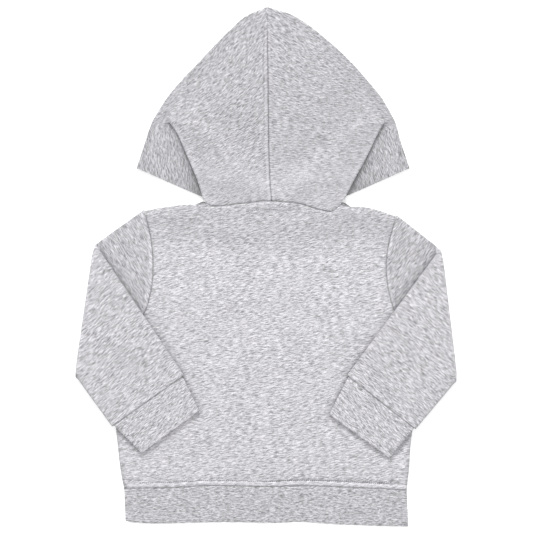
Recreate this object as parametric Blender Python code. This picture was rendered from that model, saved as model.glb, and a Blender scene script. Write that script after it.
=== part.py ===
"""Toddler hoodie in fleece, lying on its front with its sleeves folded over its back.

X runs across the garment, Y from the hem to the hood, Z up from the surface it lies on. Sizes are in
millimetres. Left and right are the wearer's, which are also the left and right of someone looking down
at the back. Every piece is one layer of cloth, worked out as a grid of points in the middle of the
cloth, and a Solidify modifier gives it its wall.
"""

import math

import bpy
import numpy as np

MM = 0.001
LEFT, RIGHT = -1, 1

# The cloth.
WALL = 1.8  # thickness of the fleece and of the doubled rib
GAP = 0.3  # between two pieces at a seam
CORNER_GAP = 1.0  # at the underarm and the end of the shoulder, where three pieces meet
CORNER_DROP = 0.6  # how far the end of the shoulder turns in, as a share of a whole seam's turn
PITCH = 2.4  # from the middle of one layer to the middle of the layer that lies on it
TURN = PITCH / 2  # radius of a fold between two layers, in the middle of the cloth
LEVELS = [WALL / 2 + PITCH * layer for layer in range(4)]  # middle of each layer, from the surface up

# The outline: each table has a height (y) and the left and right x at that height.
HOOD_SIDE = (  # from the corner of the face opening to the top of the hood
    (100.5, -131.5, 146.0),
    (125.0, -123.5, 137.7),
    (149.4, -115.0, 130.6),
    (166.0, -105.0, 122.0),
    (182.0, -93.0, 109.5),
    (206.6, -70.0, 88.5),
    (231.0, -47.0, 62.5),
    (251.4, -25.5, 36.0),
    (260.0, -12.5, 18.5),
    (264.8, 1.0, 1.0),
)
PLEAT_STEP = 2  # the row of HOOD_SIDE where the pleat runs out
HOOD_PLEAT = (  # the fold that shows beside the back of the hood, from the neck up
    (69.0, -63.5, 79.3),
    (88.0, -69.0, 88.5),
    (112.0, -79.0, 101.6),
    (137.0, -90.0, 113.5),
    (145.0, -95.5, 118.0),
    (149.0, -101.0, 122.5),
)
SIDE_SEAM = (  # from the waistband to the underarm
    (-225.7, -144.0, 142.8),
    (-205.0, -148.0, 145.2),
    (-169.0, -152.0, 148.4),
    (-91.0, -161.0, 162.5),
)
CENTRE_SEAM = ((68.0, 5.6), (85.0, 4.0), (120.0, 2.8), (220.0, 1.6), (265.0, 1.0))  # y, x

# Seams that run across: x, y.
BACK_NECK = {
    LEFT: ((5.6, 67.5), (-4.0, 67.3), (-33.0, 64.0), (-50.0, 62.0), (-57.0, 63.2), (-63.0, 67.0)),
    RIGHT: ((5.6, 67.5), (8.0, 67.3), (33.0, 64.8), (55.0, 58.7), (68.0, 57.2), (77.8, 65.9)),
}
SHOULDER = {
    LEFT: ((-67.5, 63.2), (-84.0, 62.7), (-108.0, 59.7), (-124.1, 56.4)),
    RIGHT: ((82.6, 60.3), (98.0, 60.4), (112.0, 57.8), (132.9, 50.9)),
}
ARMHOLE = {  # from the underarm to the shoulder
    LEFT: ((-161.0, -91.0), (-137.0, -67.0), (-123.5, -45.0), (-117.0, -21.0), (-115.4, 4.0),
           (-118.0, 31.0), (-124.1, 56.4)),
    RIGHT: ((162.5, -91.0), (142.0, -66.0), (130.6, -43.0), (124.6, -20.0), (122.8, 2.0),
            (125.8, 26.0), (132.9, 50.9)),
}
HEM_SEAM = ((-144.0, -225.7), (-101.0, -225.1), (-53.0, -222.9), (4.0, -224.2), (35.0, -223.0),
            (87.0, -224.7), (142.8, -227.4))
HEM_EDGE = ((-142.6, -259.6), (-125.0, -261.6), (-100.0, -261.6), (-40.0, -260.3), (4.0, -261.2),
            (35.0, -260.0), (66.0, -262.2), (108.0, -263.9), (144.4, -264.8))

# The hidden part of the hood: the face edge runs from the front neck to the side corner and on to the
# top of the forehead, underneath.
FRONT_NECK_DROP = 28.0
FRONT_NECK = {LEFT: (6.0, 42.0), RIGHT: (9.5, 42.0)}  # where each pleat's inner fold starts
FOREHEAD = 80.0  # height of the face edge at the centre seam
CROWN = 250.0  # height where the rows of the hood fan round the top

# The sleeves, by their corners as they lie folded.
SLEEVE = {
    LEFT: {
        "fold_top": (-176.5, 19.6), "fold_low": (-195.8, -111.7),
        "wrist_top": (-85.4, -111.5), "wrist_low": (-155.4, -161.4),
        "cuff_top": (-86.4, -113.4), "cuff_low": (-152.4, -161.6),
        "cuff_end_top": (-69.9, -147.4), "cuff_end_low": (-125.4, -188.2),
    },
    RIGHT: {
        "fold_top": (180.0, 14.0), "fold_low": (195.8, -116.0),
        "wrist_top": (84.4, -111.5), "wrist_low": (151.0, -164.0),
        "cuff_top": (85.2, -113.6), "cuff_low": (148.0, -164.6),
        "cuff_end_top": (66.3, -151.2), "cuff_end_low": (124.7, -193.2),
    },
}

# How finely the pieces are divided.
NECK_STEPS, SHOULDER_STEPS, ARM_STEPS, SIDE_STEPS = 6, 4, 6, 8
PLEAT_STEPS, TRIANGLE_STEPS, TURN_STEPS = 3, 4, 3
CROWN_ROWS = 7
SLEEVE_STEPS, CAP_RINGS, FOLD_RINGS, FOREARM_RINGS = 6, 4, 5, 6
BAND_RINGS = 3
SEAM_TURN = (  # how a side or shoulder seam turns in: distance from its edge and rise, over the turn's radius
    (0.0, GAP / 2 / TURN),
    (0.0, 0.4),
    (0.35, 0.8),
    (1.0, 1.0),
)
PLEAT_ROWS = (  # height as a share of the pleat's, how far it is folded, width of its hidden layer
    (0.0, 1.0, 75.0),
    (0.12, 1.0, 62.0),
    (0.28, 1.0, 46.0),
    (0.46, 1.0, 32.0),
    (0.64, 1.0, 20.0),
    (0.8, 1.0, 12.0),
    (0.92, 1.0, 7.0),
    (0.97, 0.6, 2.0),
    (1.0, 0.25, 1.0),
)
PLEAT_SLANT = (-21.0, 26.0)  # degrees that its hidden layer rises towards the centre, at the neck and the top


# Lines in the plane of the garment.


def smooth_step(value):
    value = np.clip(value, 0.0, 1.0)
    return value * value * (3.0 - 2.0 * value)


def column(table, side):
    """The line that a table of height, left x and right x gives on one side."""
    return [(row[1] if side == LEFT else row[2], row[0]) for row in table]


def shares_of(points):
    lengths = np.linalg.norm(np.diff(points, axis=0), axis=1)
    return np.concatenate([[0.0], np.cumsum(lengths)]) / lengths.sum()


def along(points, shares):
    """Points at these shares of a polyline's length."""
    points = np.asarray(points, float)
    known = shares_of(points)
    return np.stack([np.interp(shares, known, points[:, axis]) for axis in range(points.shape[1])], axis=1)


def curved(points, fine=12):
    """A Catmull-Rom curve through the points."""
    points = np.asarray(points, float)
    ends = [2 * points[0] - points[1], *points, 2 * points[-1] - points[-2]]
    share = np.arange(fine)[:, None] / fine
    spans = []
    for a, b, c, d in zip(ends, ends[1:], ends[2:], ends[3:]):
        bend = 2 * a - 5 * b + 4 * c - d
        twist = 3 * b - a - 3 * c + d
        spans.append(0.5 * (2 * b + (c - a) * share + bend * share**2 + twist * share**3))
    return np.concatenate([*spans, points[-1:]])


def even(steps):
    return np.linspace(0.0, 1.0, steps + 1)


def moved_out(points, distance):
    """The polyline moved to its right-hand side, every stretch by the same distance."""
    points = np.asarray(points, float)
    runs = np.diff(points, axis=0)
    runs /= np.linalg.norm(runs, axis=1)[:, None]
    right = np.stack([runs[:, 1], -runs[:, 0]], axis=1)
    before = np.concatenate([right[:1], right])
    after = np.concatenate([right, right[-1:]])
    middle = before + after
    return points + distance * middle * 2.0 / (middle**2).sum(axis=1)[:, None]


def normals(points, side):
    """Unit vectors across a line that runs up the garment, away from the centre on this side."""
    runs = np.gradient(np.asarray(points, float), axis=0)
    runs /= np.linalg.norm(runs, axis=1)[:, None]
    return side * np.stack([runs[:, 1], -runs[:, 0]], axis=1)


def normals_at(points, shares, side):
    """The same at some shares of the line's length."""
    fine = even(100)
    found = along(normals(along(points, fine), side), shares)
    return found / np.linalg.norm(found, axis=1)[:, None]


def centre_x(height):
    heights, xs = zip(*CENTRE_SEAM)
    return np.interp(height, heights, xs)


# Cloth from a grid of points.


def material(name, colour, roughness):
    made = bpy.data.materials.new(name)
    made.use_nodes = True
    shader = made.node_tree.nodes["Principled BSDF"]
    shader.inputs["Base Color"].default_value = (*colour, 1.0)
    shader.inputs["Roughness"].default_value = roughness
    made.diffuse_color = (*colour, 1.0)
    return made


def cloth(name, grid, look, round_tube=False):
    """A named piece of cloth whose middle runs through the grid: rows of points in millimetres."""
    grid = np.asarray(grid, float)
    rows, across = grid.shape[:2]
    steps = across if round_tube else across - 1
    faces = [
        (row * across + step, row * across + (step + 1) % across,
         (row + 1) * across + (step + 1) % across, (row + 1) * across + step)
        for row in range(rows - 1)
        for step in range(steps)
    ]
    mesh = bpy.data.meshes.new(name)
    mesh.from_pydata((grid.reshape(-1, 3) * MM).tolist(), [], faces)
    mesh.materials.append(look)
    mesh.shade_smooth()
    piece = bpy.data.objects.new(name, mesh)
    bpy.context.scene.collection.objects.link(piece)
    wall = piece.modifiers.new("Wall", "SOLIDIFY")
    wall.thickness = WALL * MM
    wall.offset = 0.0
    wall.use_even_offset = False
    return piece


def flat_loop(reach, shares):
    """One ring of a flattened tube: out along its lower wall, round, back along its upper wall, round.

    Gives each point's place along the ring, beyond its ends where it rounds, and its height over the
    middle of the tube.
    """
    turn = np.linspace(0.0, math.pi, TURN_STEPS + 1)[1:-1]
    out = shares * reach
    flat = np.full(len(out), TURN)
    place = np.concatenate([out, reach + TURN * np.sin(turn), out[::-1], -TURN * np.sin(turn)])
    height = np.concatenate([-flat, -TURN * np.cos(turn), flat, TURN * np.cos(turn)])
    return place, height


# The hood: two halves with a centre seam. Each runs from the centre seam out to the pleat's outer fold,
# back under itself to the inner fold, out again as the triangle that shows, and round to the underside.


def hood_lines(side):
    """The hood's lines on one side, each from the neck or face edge up to where the pleat runs out."""
    side_line = curved(column(HOOD_SIDE, side))
    fine = (len(side_line) - 1) // (len(HOOD_SIDE) - 1)
    split = PLEAT_STEP * fine
    shares, _, widths = np.asarray(PLEAT_ROWS).T
    fold = curved(column(HOOD_PLEAT, side))
    slant = np.radians(np.interp(shares, (0.0, 1.0), PLEAT_SLANT))
    towards_centre = np.column_stack([-side * np.cos(slant), np.sin(slant)])
    inner = along(fold, shares) + widths[:, None] * towards_centre
    inner[0] = FRONT_NECK[side]
    edge = side_line[: split + 1]
    return {
        "fold": (along(fold, shares), normals_at(fold, shares, side)),
        "inner": (inner, normals(inner, -side)),
        "edge": (along(edge, shares), normals_at(edge, shares, side)),
        "crown": side_line[split:],
    }


def face_edge_height(x, side):
    """Height of the face edge on the underside."""
    corner_y, left_x, right_x = HOOD_SIDE[0]
    corner_x = left_x if side == LEFT else right_x
    share = np.clip((x - centre_x(FOREHEAD)) / (corner_x - centre_x(FOREHEAD)), 0.0, 1.0)
    return FOREHEAD + (corner_y - FOREHEAD) * share


def triangle_level(points, side):
    """The layer that shows as a triangle: on the surface below the face edge, on the underside's cloth above."""
    x, y = points[:, 0], points[:, 1]
    return LEVELS[0] + PITCH * smooth_step((y - face_edge_height(x, side) + 12.0) / 10.0)


def back_level(points, side, inner, drop):
    """The back of the hood: high over the pleat, and sinking to the underside's cloth towards the centre."""
    x, y = points[:, 0], points[:, 1]
    fold_x = np.interp(y, inner[:, 1], inner[:, 0])
    from_fold = side * (x - fold_x)
    over_pleat = smooth_step((from_fold + 30.0) / 24.0)
    centre = LEVELS[1] + PITCH * (1.0 - smooth_step((y - 68.0) / 30.0))
    return centre + (triangle_level(points, side) + drop - centre) * over_pleat


def lifted(points, heights):
    return np.column_stack([points, np.broadcast_to(heights, len(points))])


def turn_points(place, outward, upper, lower):
    """The points inside a fold, from its upper layer to its lower one."""
    angle = np.linspace(0.0, math.pi, TURN_STEPS + 1)[1:-1]
    radius = (upper - lower) / 2
    flat = np.asarray(place) + np.sin(angle)[:, None] * radius * np.asarray(outward)
    return lifted(flat, (upper + lower) / 2 + radius * np.cos(angle))


def pleat_profile(folded, width):
    """How a part-folded pleat runs out and down: one bend, a straight and one bend back."""
    angle = math.pi * folded
    bend = max(TURN * angle, 1.5)
    runs = [bend / TURN_STEPS] * TURN_STEPS + [width / PLEAT_STEPS] * PLEAT_STEPS
    runs += [bend / TURN_STEPS] * TURN_STEPS
    turned = np.linspace(0.0, angle, TURN_STEPS + 1)
    middles = (turned[1:] + turned[:-1]) / 2
    headings = [*middles, *([angle] * PLEAT_STEPS), *middles[::-1]]
    out = np.concatenate([[0.0], np.cumsum(np.multiply(runs, np.cos(headings)))])
    down = np.concatenate([[0.0], np.cumsum(np.multiply(runs, np.sin(headings)))])
    return out, down


def inside_folds(lines, index):
    """Where the row's cloth meets its three folds, and the way out of each."""
    outs = [lines[name][1][index] for name in ("fold", "inner", "edge")]
    places = [lines[name][0][index] - TURN * out for name, out in zip(("fold", "inner", "edge"), outs)]
    return places, outs


def pleated_row(side, lines, index, start, end, neck):
    """A row across the folded pleat. The lowest row follows the neck seam, and the others have none."""
    (fold_in, inner_in, edge_in), (fold_out, inner_out, edge_out) = inside_folds(lines, index)
    back = along([start, fold_in], even(NECK_STEPS))
    hidden = along([fold_in, inner_in], even(PLEAT_STEPS))
    if neck is not None:
        back[:-1] = along(neck, even(NECK_STEPS))[:-1]
        hidden = front_neck_line(side, fold_in, inner_in)
    shown = along([inner_in, edge_in], even(TRIANGLE_STEPS))
    under = along([edge_in, end], even(NECK_STEPS))
    shown_z = triangle_level(shown, side)
    hidden_z = triangle_level(hidden, side) + PITCH
    back_z = back_level(back, side, lines["inner"][0], 2 * PITCH)
    back_z[-1] = hidden_z[0] + PITCH
    hidden_z[-1] = shown_z[0] + PITCH
    shown_z[-1] = LEVELS[1]
    return np.concatenate([
        lifted(back, back_z),
        turn_points(fold_in, fold_out, back_z[-1], hidden_z[0]),
        lifted(hidden, hidden_z),
        turn_points(inner_in, inner_out, hidden_z[-1], shown_z[0]),
        lifted(shown, shown_z),
        turn_points(edge_in, edge_out, LEVELS[1], LEVELS[0]),
        lifted(under, LEVELS[0]),
    ])


def front_neck_line(side, first, last):
    """The front neckline of one half, a quarter of an ellipse that starts straight down at the shoulder."""
    angle = np.linspace(0.0, math.pi / 2, PLEAT_STEPS + 1)
    x = last[0] + (first[0] - last[0]) * np.cos(angle)
    y = first[1] + (last[1] - first[1]) * np.sin(angle)
    return np.column_stack([x, y])


def fading_row(side, lines, index, start, end):
    """A row where the pleat opens out, just below the top of the triangle."""
    (fold_in, _, edge_in), (fold_out, _, edge_out) = inside_folds(lines, index)
    out, down = pleat_profile(*PLEAT_ROWS[index][1:])
    back = along([start, fold_in], even(NECK_STEPS))
    pleat = fold_in + out[:, None] * fold_out
    shown = along([pleat[-1], edge_in], even(TRIANGLE_STEPS))
    under = along([edge_in, end], even(NECK_STEPS))
    back_z = back_level(back, side, lines["inner"][0], down[-1])
    back_z[-1] = LEVELS[1] + down[-1]
    return np.concatenate([
        lifted(back, back_z),
        lifted(pleat[1:-1], LEVELS[1] + down[-1] - down[1:-1]),
        lifted(shown, LEVELS[1]),
        turn_points(edge_in, edge_out, LEVELS[1], LEVELS[0]),
        lifted(under, LEVELS[0]),
    ])


def flat_row(start, edge, edge_out, end, opened):
    """A row above the pleat: one layer out to the side and one back. Opened goes from 0 to 1 at the top."""
    edge_in = edge - TURN * edge_out
    pleat_steps = 2 * TURN_STEPS + PLEAT_STEPS
    near_pleat = np.concatenate([
        np.linspace(0.0, 0.87, NECK_STEPS + 1),
        np.linspace(0.87, 0.91, pleat_steps + 1)[1:],
        np.linspace(0.91, 1.0, TRIANGLE_STEPS + 1)[1:],
    ])
    shares = near_pleat + (even(len(near_pleat) - 1) - near_pleat) * opened
    return np.concatenate([
        lifted(along([start, edge_in], shares), LEVELS[1]),
        turn_points(edge_in, edge_out, LEVELS[1], LEVELS[0]),
        lifted(along([edge_in, end], even(NECK_STEPS)), LEVELS[0]),
    ])


def seam_point(height, side):
    return np.asarray([centre_x(height) + side * GAP / 2, height])


def hood_rows(side):
    lines = hood_lines(side)
    top_height = HOOD_SIDE[PLEAT_STEP][0]
    neck = moved_out(along(curved(BACK_NECK[side]), even(NECK_STEPS)), side * -GAP / 2)
    neck[0] = (centre_x(68.0) + side * GAP / 2, neck[0][1])
    rows = []
    for index, (share, folded, _) in enumerate(PLEAT_ROWS):
        start = seam_point(neck[0][1] + (top_height - neck[0][1]) * share, side)
        end = seam_point(FOREHEAD + (top_height - FOREHEAD) * share, side)
        if folded == 1.0:
            rows.append(pleated_row(side, lines, index, start, end, neck if index == 0 else None))
        else:
            rows.append(fading_row(side, lines, index, start, end))
    opened = even(CROWN_ROWS)[1:]
    crown = along(lines["crown"], even(CROWN_ROWS))
    crown_out = normals(crown, side)
    crown_out[-1] = (0.0, 1.0)
    crown[-1] = seam_point(crown[-1][1], side) + (side * GAP, 0.0)
    for share, edge, edge_out in zip(opened, crown[1:], crown_out[1:]):
        start = seam_point(top_height + (CROWN - top_height) * share, side)
        rows.append(flat_row(start, edge, edge_out, start, share))
    return np.asarray(rows)


# The body: a back and a front that meet at the shoulders and sides.


def near_neck(points, inside, fades):
    """1 within the neckline's ellipse, 0 beyond it, fading between."""
    (left_y, left_x, right_x) = HOOD_PLEAT[0]
    middle, reach = (left_x + right_x) / 2, (right_x - left_x) / 2
    out = np.hypot((points[..., 0] - middle) / reach, (points[..., 1] - left_y) / FRONT_NECK_DROP)
    return 1.0 - smooth_step((out - inside) / fades)


def patch(left, right, bottom, top):
    """A grid between four lines that meet at their ends (a Coons patch)."""
    up = ((shares_of(left) + shares_of(right)) / 2)[:, None, None]
    over = ((shares_of(bottom) + shares_of(top)) / 2)[None, :, None]
    sides = (1 - over) * left[:, None] + over * right[:, None]
    ends = (1 - up) * bottom[None] + up * top[None]
    corners = (1 - up) * ((1 - over) * bottom[0] + over * bottom[-1])
    corners = corners + up * ((1 - over) * top[0] + over * top[-1])
    return sides + ends - corners


def armhole(side):
    return along(curved(ARMHOLE[side]), even(ARM_STEPS))


def body_side(side):
    """One side of a body panel, from the waistband up the side seam and the armhole."""
    seam = along(curved(column(SIDE_SEAM, side)), even(SIDE_STEPS))
    arm = moved_out(armhole(side), side * -GAP / 2)
    arm[[0, -1], 0] -= side * CORNER_GAP
    return np.concatenate([seam[:-1], arm])


def hem_columns():
    return along(curved(HEM_SEAM), even(2 * (NECK_STEPS + SHOULDER_STEPS)))


def body_panel(name, necks, level, lift, seam_side, look):
    """A body panel between its neckline halves. Seam_side is -1 where its seams turn down and 1 where up."""
    shoulders = {}
    for side in (LEFT, RIGHT):
        run = along(curved(SHOULDER[side]), even(SHOULDER_STEPS))
        run[-1] = body_side(side)[-1]
        shoulders[side] = run
    top = np.concatenate([
        shoulders[LEFT][::-1][:-1], necks[LEFT][::-1][:-1], necks[RIGHT], shoulders[RIGHT][1:],
    ])
    top[SHOULDER_STEPS] = (necks[LEFT][-1] + shoulders[LEFT][0]) / 2
    top[SHOULDER_STEPS + 2 * NECK_STEPS] = (necks[RIGHT][-1] + shoulders[RIGHT][0]) / 2
    left, right = body_side(LEFT), body_side(RIGHT)
    bottom = hem_columns() + (0.0, GAP / 2)
    left[0], right[0] = bottom[0], bottom[-1]
    plan = patch(left, right, bottom, top)
    turn, rise = np.transpose(SEAM_TURN)

    def edged(grid, edge_first):
        """The grid with two more lines beside its first edge, for the rounding of a seam."""
        grid = grid if edge_first else grid[:, ::-1]
        inward = grid[:, 1] - grid[:, 0]
        inward /= np.linalg.norm(inward, axis=1)[:, None]
        extra = [grid[:, 0] + TURN * share * inward for share in turn]
        grid = np.concatenate([np.stack(extra, axis=1), grid[:, 1:]], axis=1)
        return grid if edge_first else grid[:, ::-1]

    plan = edged(edged(plan, True), False)
    plan = edged(plan.transpose(1, 0, 2), False).transpose(1, 0, 2)
    heights = level + PITCH * lift(plan)
    drop = np.zeros(plan.shape[:2])
    down = 1.0 - rise
    side_rows = slice(0, SIDE_STEPS)
    for column_index, amount in enumerate(down):
        drop[side_rows, column_index] = amount
        drop[side_rows, -1 - column_index] = amount
    beside_neck = SHOULDER_STEPS + len(SEAM_TURN) - 1
    shoulder_columns = [*range(beside_neck), *range(-beside_neck, 0)]
    for row_index, amount in enumerate(down):
        for column_index in shoulder_columns:
            drop[-1 - row_index, column_index] = amount
    corner = len(SEAM_TURN)
    drop[-corner:, :corner] *= CORNER_DROP
    drop[-corner:, -corner:] *= CORNER_DROP
    heights = heights + seam_side * TURN * drop
    return cloth(name, np.concatenate([plan, heights[..., None]], axis=2), look)


def back_neck(side):
    line = along(curved(BACK_NECK[side]), even(NECK_STEPS))
    line = moved_out(line, side * GAP / 2)
    line[0, 0] = centre_x(68.0)
    return line


def front_neck(side, hood_row):
    """The front neckline, just clear of the hood's edge: between its points, one more on each stretch."""
    first = NECK_STEPS + 1 + TURN_STEPS - 1
    hood_edge = hood_row[first : first + PLEAT_STEPS + 1, :2]
    line = [hood_edge[0]]
    for before, after in zip(hood_edge[:-2], hood_edge[1:-1]):
        line += [(before + after) / 2, after]
    line.append(hood_edge[-1])
    middle_x = (FRONT_NECK[LEFT][0] + FRONT_NECK[RIGHT][0]) / 2
    line.append(np.asarray((middle_x, hood_edge[-1][1])))
    line = moved_out(np.asarray(line[::-1]), side * GAP)
    line[0, 0] = middle_x
    return line


# The tubes: sleeves, cuffs and waistband.


def ring_points(line, loop_places):
    """Points of a ring whose line on the plan may curve: places beyond the ends run straight on."""
    total = np.linalg.norm(np.diff(line, axis=0), axis=1).sum()
    share = loop_places / total
    inside = along(line, np.clip(share, 0.0, 1.0))
    first_way = (line[0] - line[1]) / np.linalg.norm(line[0] - line[1])
    last_way = (line[-1] - line[-2]) / np.linalg.norm(line[-1] - line[-2])
    before = np.clip(-share, 0.0, None)[:, None] * total * first_way
    after = np.clip(share - 1.0, 0.0, None)[:, None] * total * last_way
    return inside + before + after


def sleeve(side, look):
    corners = {name: np.asarray(place) for name, place in SLEEVE[side].items()}
    seam = moved_out(armhole(side), side * GAP / 2)[::-1]
    fold_line = along([corners["fold_top"], corners["fold_low"]], even(SLEEVE_STEPS))
    wrist = along([corners["wrist_top"], corners["wrist_low"]], even(SLEEVE_STEPS))
    run = fold_line[-1] - fold_line[0]
    outward = np.asarray([-run[1], run[0]]) / np.linalg.norm(run)
    outward *= side * np.sign(outward[0])
    fold_radius = 2 * PITCH - TURN - PITCH / 2  # the middle of the sleeve, from two layers to four
    reach = fold_radius + TURN + WALL / 2
    axis = fold_line - reach * outward
    low, high = (LEVELS[0] + LEVELS[1]) / 2, (LEVELS[2] + LEVELS[3]) / 2
    rings = []
    shares = even(SLEEVE_STEPS)
    for step in range(CAP_RINGS):
        line = seam + (axis - seam) * (step / CAP_RINGS)
        rings.append(flat_ring(line, shares, low, 1.0))
    for angle in np.linspace(0.0, math.pi, FOLD_RINGS + 1):
        place, height = flat_ring_parts(axis, shares)
        radius = fold_radius - height
        flat = place + np.sin(angle) * radius[:, None] * outward
        rings.append(lifted(flat, (low + high) / 2 - radius * np.cos(angle)))
    for step in range(1, FOREARM_RINGS + 1):
        line = axis + (wrist - axis) * (step / FOREARM_RINGS)
        rings.append(flat_ring(line, shares, high, -1.0))
    return cloth(f"sleeve_{side_name(side)}", turned_out(rings, side), look, round_tube=True)


def flat_ring_parts(line, shares):
    total = np.linalg.norm(np.diff(line, axis=0), axis=1).sum()
    place, height = flat_loop(total, shares)
    return ring_points(line, place), height


def flat_ring(line, shares, middle, way_up):
    """A ring of a flattened tube along a line. Way_up is -1 where the tube lies turned over."""
    place, height = flat_ring_parts(line, shares)
    return lifted(place, middle + way_up * height)


def turned_out(rings, side):
    """The rings in the order that makes the tube's faces point outward."""
    rings = np.asarray(rings)
    return rings[:, ::-1] if side == RIGHT else rings


def cuff(side, look):
    corners = {name: np.asarray(place) for name, place in SLEEVE[side].items()}
    seam = along([corners["cuff_top"], corners["cuff_low"]], even(SLEEVE_STEPS))
    end = along([corners["cuff_end_top"], corners["cuff_end_low"]], even(SLEEVE_STEPS))
    middle = (LEVELS[2] + LEVELS[3]) / 2
    shares = even(SLEEVE_STEPS)
    rings = [flat_ring(seam + (end - seam) * share, shares, middle, -1.0) for share in even(BAND_RINGS)]
    return cloth(f"cuff_{side_name(side)}", turned_out(rings, side), look, round_tube=True)


def waistband(look):
    seam = hem_columns() - (0.0, GAP / 2)
    edge = along(curved(HEM_EDGE), shares_of(seam))
    middle = (LEVELS[0] + LEVELS[1]) / 2
    inset = np.asarray((TURN, 0.0))
    for line in (seam, edge):
        line[0] += inset
        line[-1] -= inset
    shares = shares_of(seam)
    rings = [flat_ring(seam + (edge - seam) * share, shares, middle, 1.0) for share in even(BAND_RINGS)]
    return cloth("waistband", turned_out(rings, LEFT), look, round_tube=True)


def side_name(side):
    return "left" if side == LEFT else "right"


def centre_on_origin():
    """Moves every piece so that the origin is under the middle of the whole garment."""
    graph = bpy.context.evaluated_depsgraph_get()
    corners = np.concatenate([np.asarray(piece.evaluated_get(graph).bound_box) for piece in bpy.data.objects])
    middle = (corners.min(axis=0) + corners.max(axis=0)) / 2
    for piece in bpy.data.objects:
        piece.location = (-middle[0], -middle[1], 0.0)


def main():
    for old in list(bpy.data.objects):
        bpy.data.objects.remove(old)
    fleece = material("fleece", (0.62, 0.61, 0.64), 0.95)
    rib = material("rib", (0.55, 0.545, 0.575), 0.95)
    rows = {side: hood_rows(side) for side in (LEFT, RIGHT)}
    for side, grid in rows.items():
        ordered = grid if side == LEFT else grid[:, ::-1]
        cloth(f"hood_{side_name(side)}", ordered, fleece)
    body_panel(
        "back", {side: back_neck(side) for side in rows}, LEVELS[1],
        lambda plan: near_neck(plan, 1.25, 0.5), -1, fleece,
    )
    body_panel(
        "front", {side: front_neck(side, grid[0]) for side, grid in rows.items()}, LEVELS[0],
        lambda plan: near_neck(plan, 1.0, 0.3), 1, fleece,
    )
    for side in (LEFT, RIGHT):
        sleeve(side, fleece)
        cuff(side, rib)
    waistband(rib)
    centre_on_origin()


main()
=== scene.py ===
# %% [markdown]
# # A toddler's hoodie in grey marl fleece
#
# The hoodie lies on its front on a white table. Its hood is spread flat above the neck, with a pleat at
# each side, and its sleeves are folded over its back. Every cut piece of cloth becomes one thin shell,
# worked out as a grid of points in the middle of the cloth. Such a grid gives us the rows and columns
# that follow the cloth's own lines, so that seams, folds and creases fall where a maker puts them.

# %% Load the frame
import math

import bpy
import numpy as np
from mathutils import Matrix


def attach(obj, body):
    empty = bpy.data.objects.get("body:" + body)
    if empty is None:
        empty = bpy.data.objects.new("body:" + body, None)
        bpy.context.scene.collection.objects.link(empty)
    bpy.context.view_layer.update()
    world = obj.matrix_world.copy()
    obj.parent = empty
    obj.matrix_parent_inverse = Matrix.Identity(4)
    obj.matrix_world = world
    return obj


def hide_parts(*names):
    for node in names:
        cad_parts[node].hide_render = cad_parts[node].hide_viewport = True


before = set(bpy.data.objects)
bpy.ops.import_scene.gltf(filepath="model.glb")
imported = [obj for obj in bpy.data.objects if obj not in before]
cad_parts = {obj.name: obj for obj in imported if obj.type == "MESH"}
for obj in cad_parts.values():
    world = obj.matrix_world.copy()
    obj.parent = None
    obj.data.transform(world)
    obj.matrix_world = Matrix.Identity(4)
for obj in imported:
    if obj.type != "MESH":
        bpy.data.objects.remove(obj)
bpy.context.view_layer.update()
bpy.ops.object.select_all(action="DESELECT")

# %% [markdown]
# ## Sizes
#
# Sizes are in millimetres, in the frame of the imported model: X across, Y from the hem to the hood and Z
# up from the table. The cloth is 1.8 mm thick, and the middle of each layer lies 2.4 mm above the middle
# of the one below. A garment has few straight lines, so its edges are short tables of points, and
# smooth curves are drawn through them.

# %% The cloth and its layers
MM = 0.001
LEFT, RIGHT = -1, 1
SIDE_NAMES = {LEFT: "left", RIGHT: "right"}
WALL = 1.8
GAP = 0.3
CORNER_GAP = 0.5
PITCH = 2.4
TURN = PITCH / 2
LEVELS = [WALL / 2 + PITCH * layer for layer in range(4)]
TABLE_SHIFT = -0.27  # the tables' middle height is this far above the frame's
print("layers at", [round(level, 1) for level in LEVELS], "mm")

# %% The outline: height, left x and right x
HOOD_SIDE = (
    (100.5, -131.5, 146.0),
    (125.0, -123.5, 137.7),
    (149.4, -115.0, 130.6),
    (166.0, -105.0, 122.0),
    (182.0, -93.0, 109.5),
    (206.6, -70.0, 88.5),
    (231.0, -47.0, 62.5),
    (251.4, -25.5, 36.0),
    (260.0, -12.5, 18.5),
    (264.8, 1.0, 1.0),
)
PLEAT_STEP = 2
HOOD_PLEAT = (
    (69.0, -63.5, 79.3),
    (88.0, -69.0, 88.5),
    (112.0, -79.0, 101.6),
    (137.0, -90.0, 113.5),
    (145.0, -95.5, 118.0),
    (149.0, -101.0, 122.5),
)
SIDE_SEAM = (
    (-225.7, -144.0, 142.8),
    (-205.0, -148.0, 145.2),
    (-169.0, -152.0, 148.4),
    (-91.0, -161.0, 162.5),
)
NECK_HEIGHT = 68.0
CENTRE_SEAM = ((NECK_HEIGHT, 5.6), (85.0, 4.0), (120.0, 2.8), (220.0, 1.6), (265.0, 1.0))  # height, x
print("hood", HOOD_SIDE[-1][0] - HOOD_SIDE[0][0], "mm high,", HOOD_SIDE[0][2] - HOOD_SIDE[0][1], "mm wide")

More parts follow.
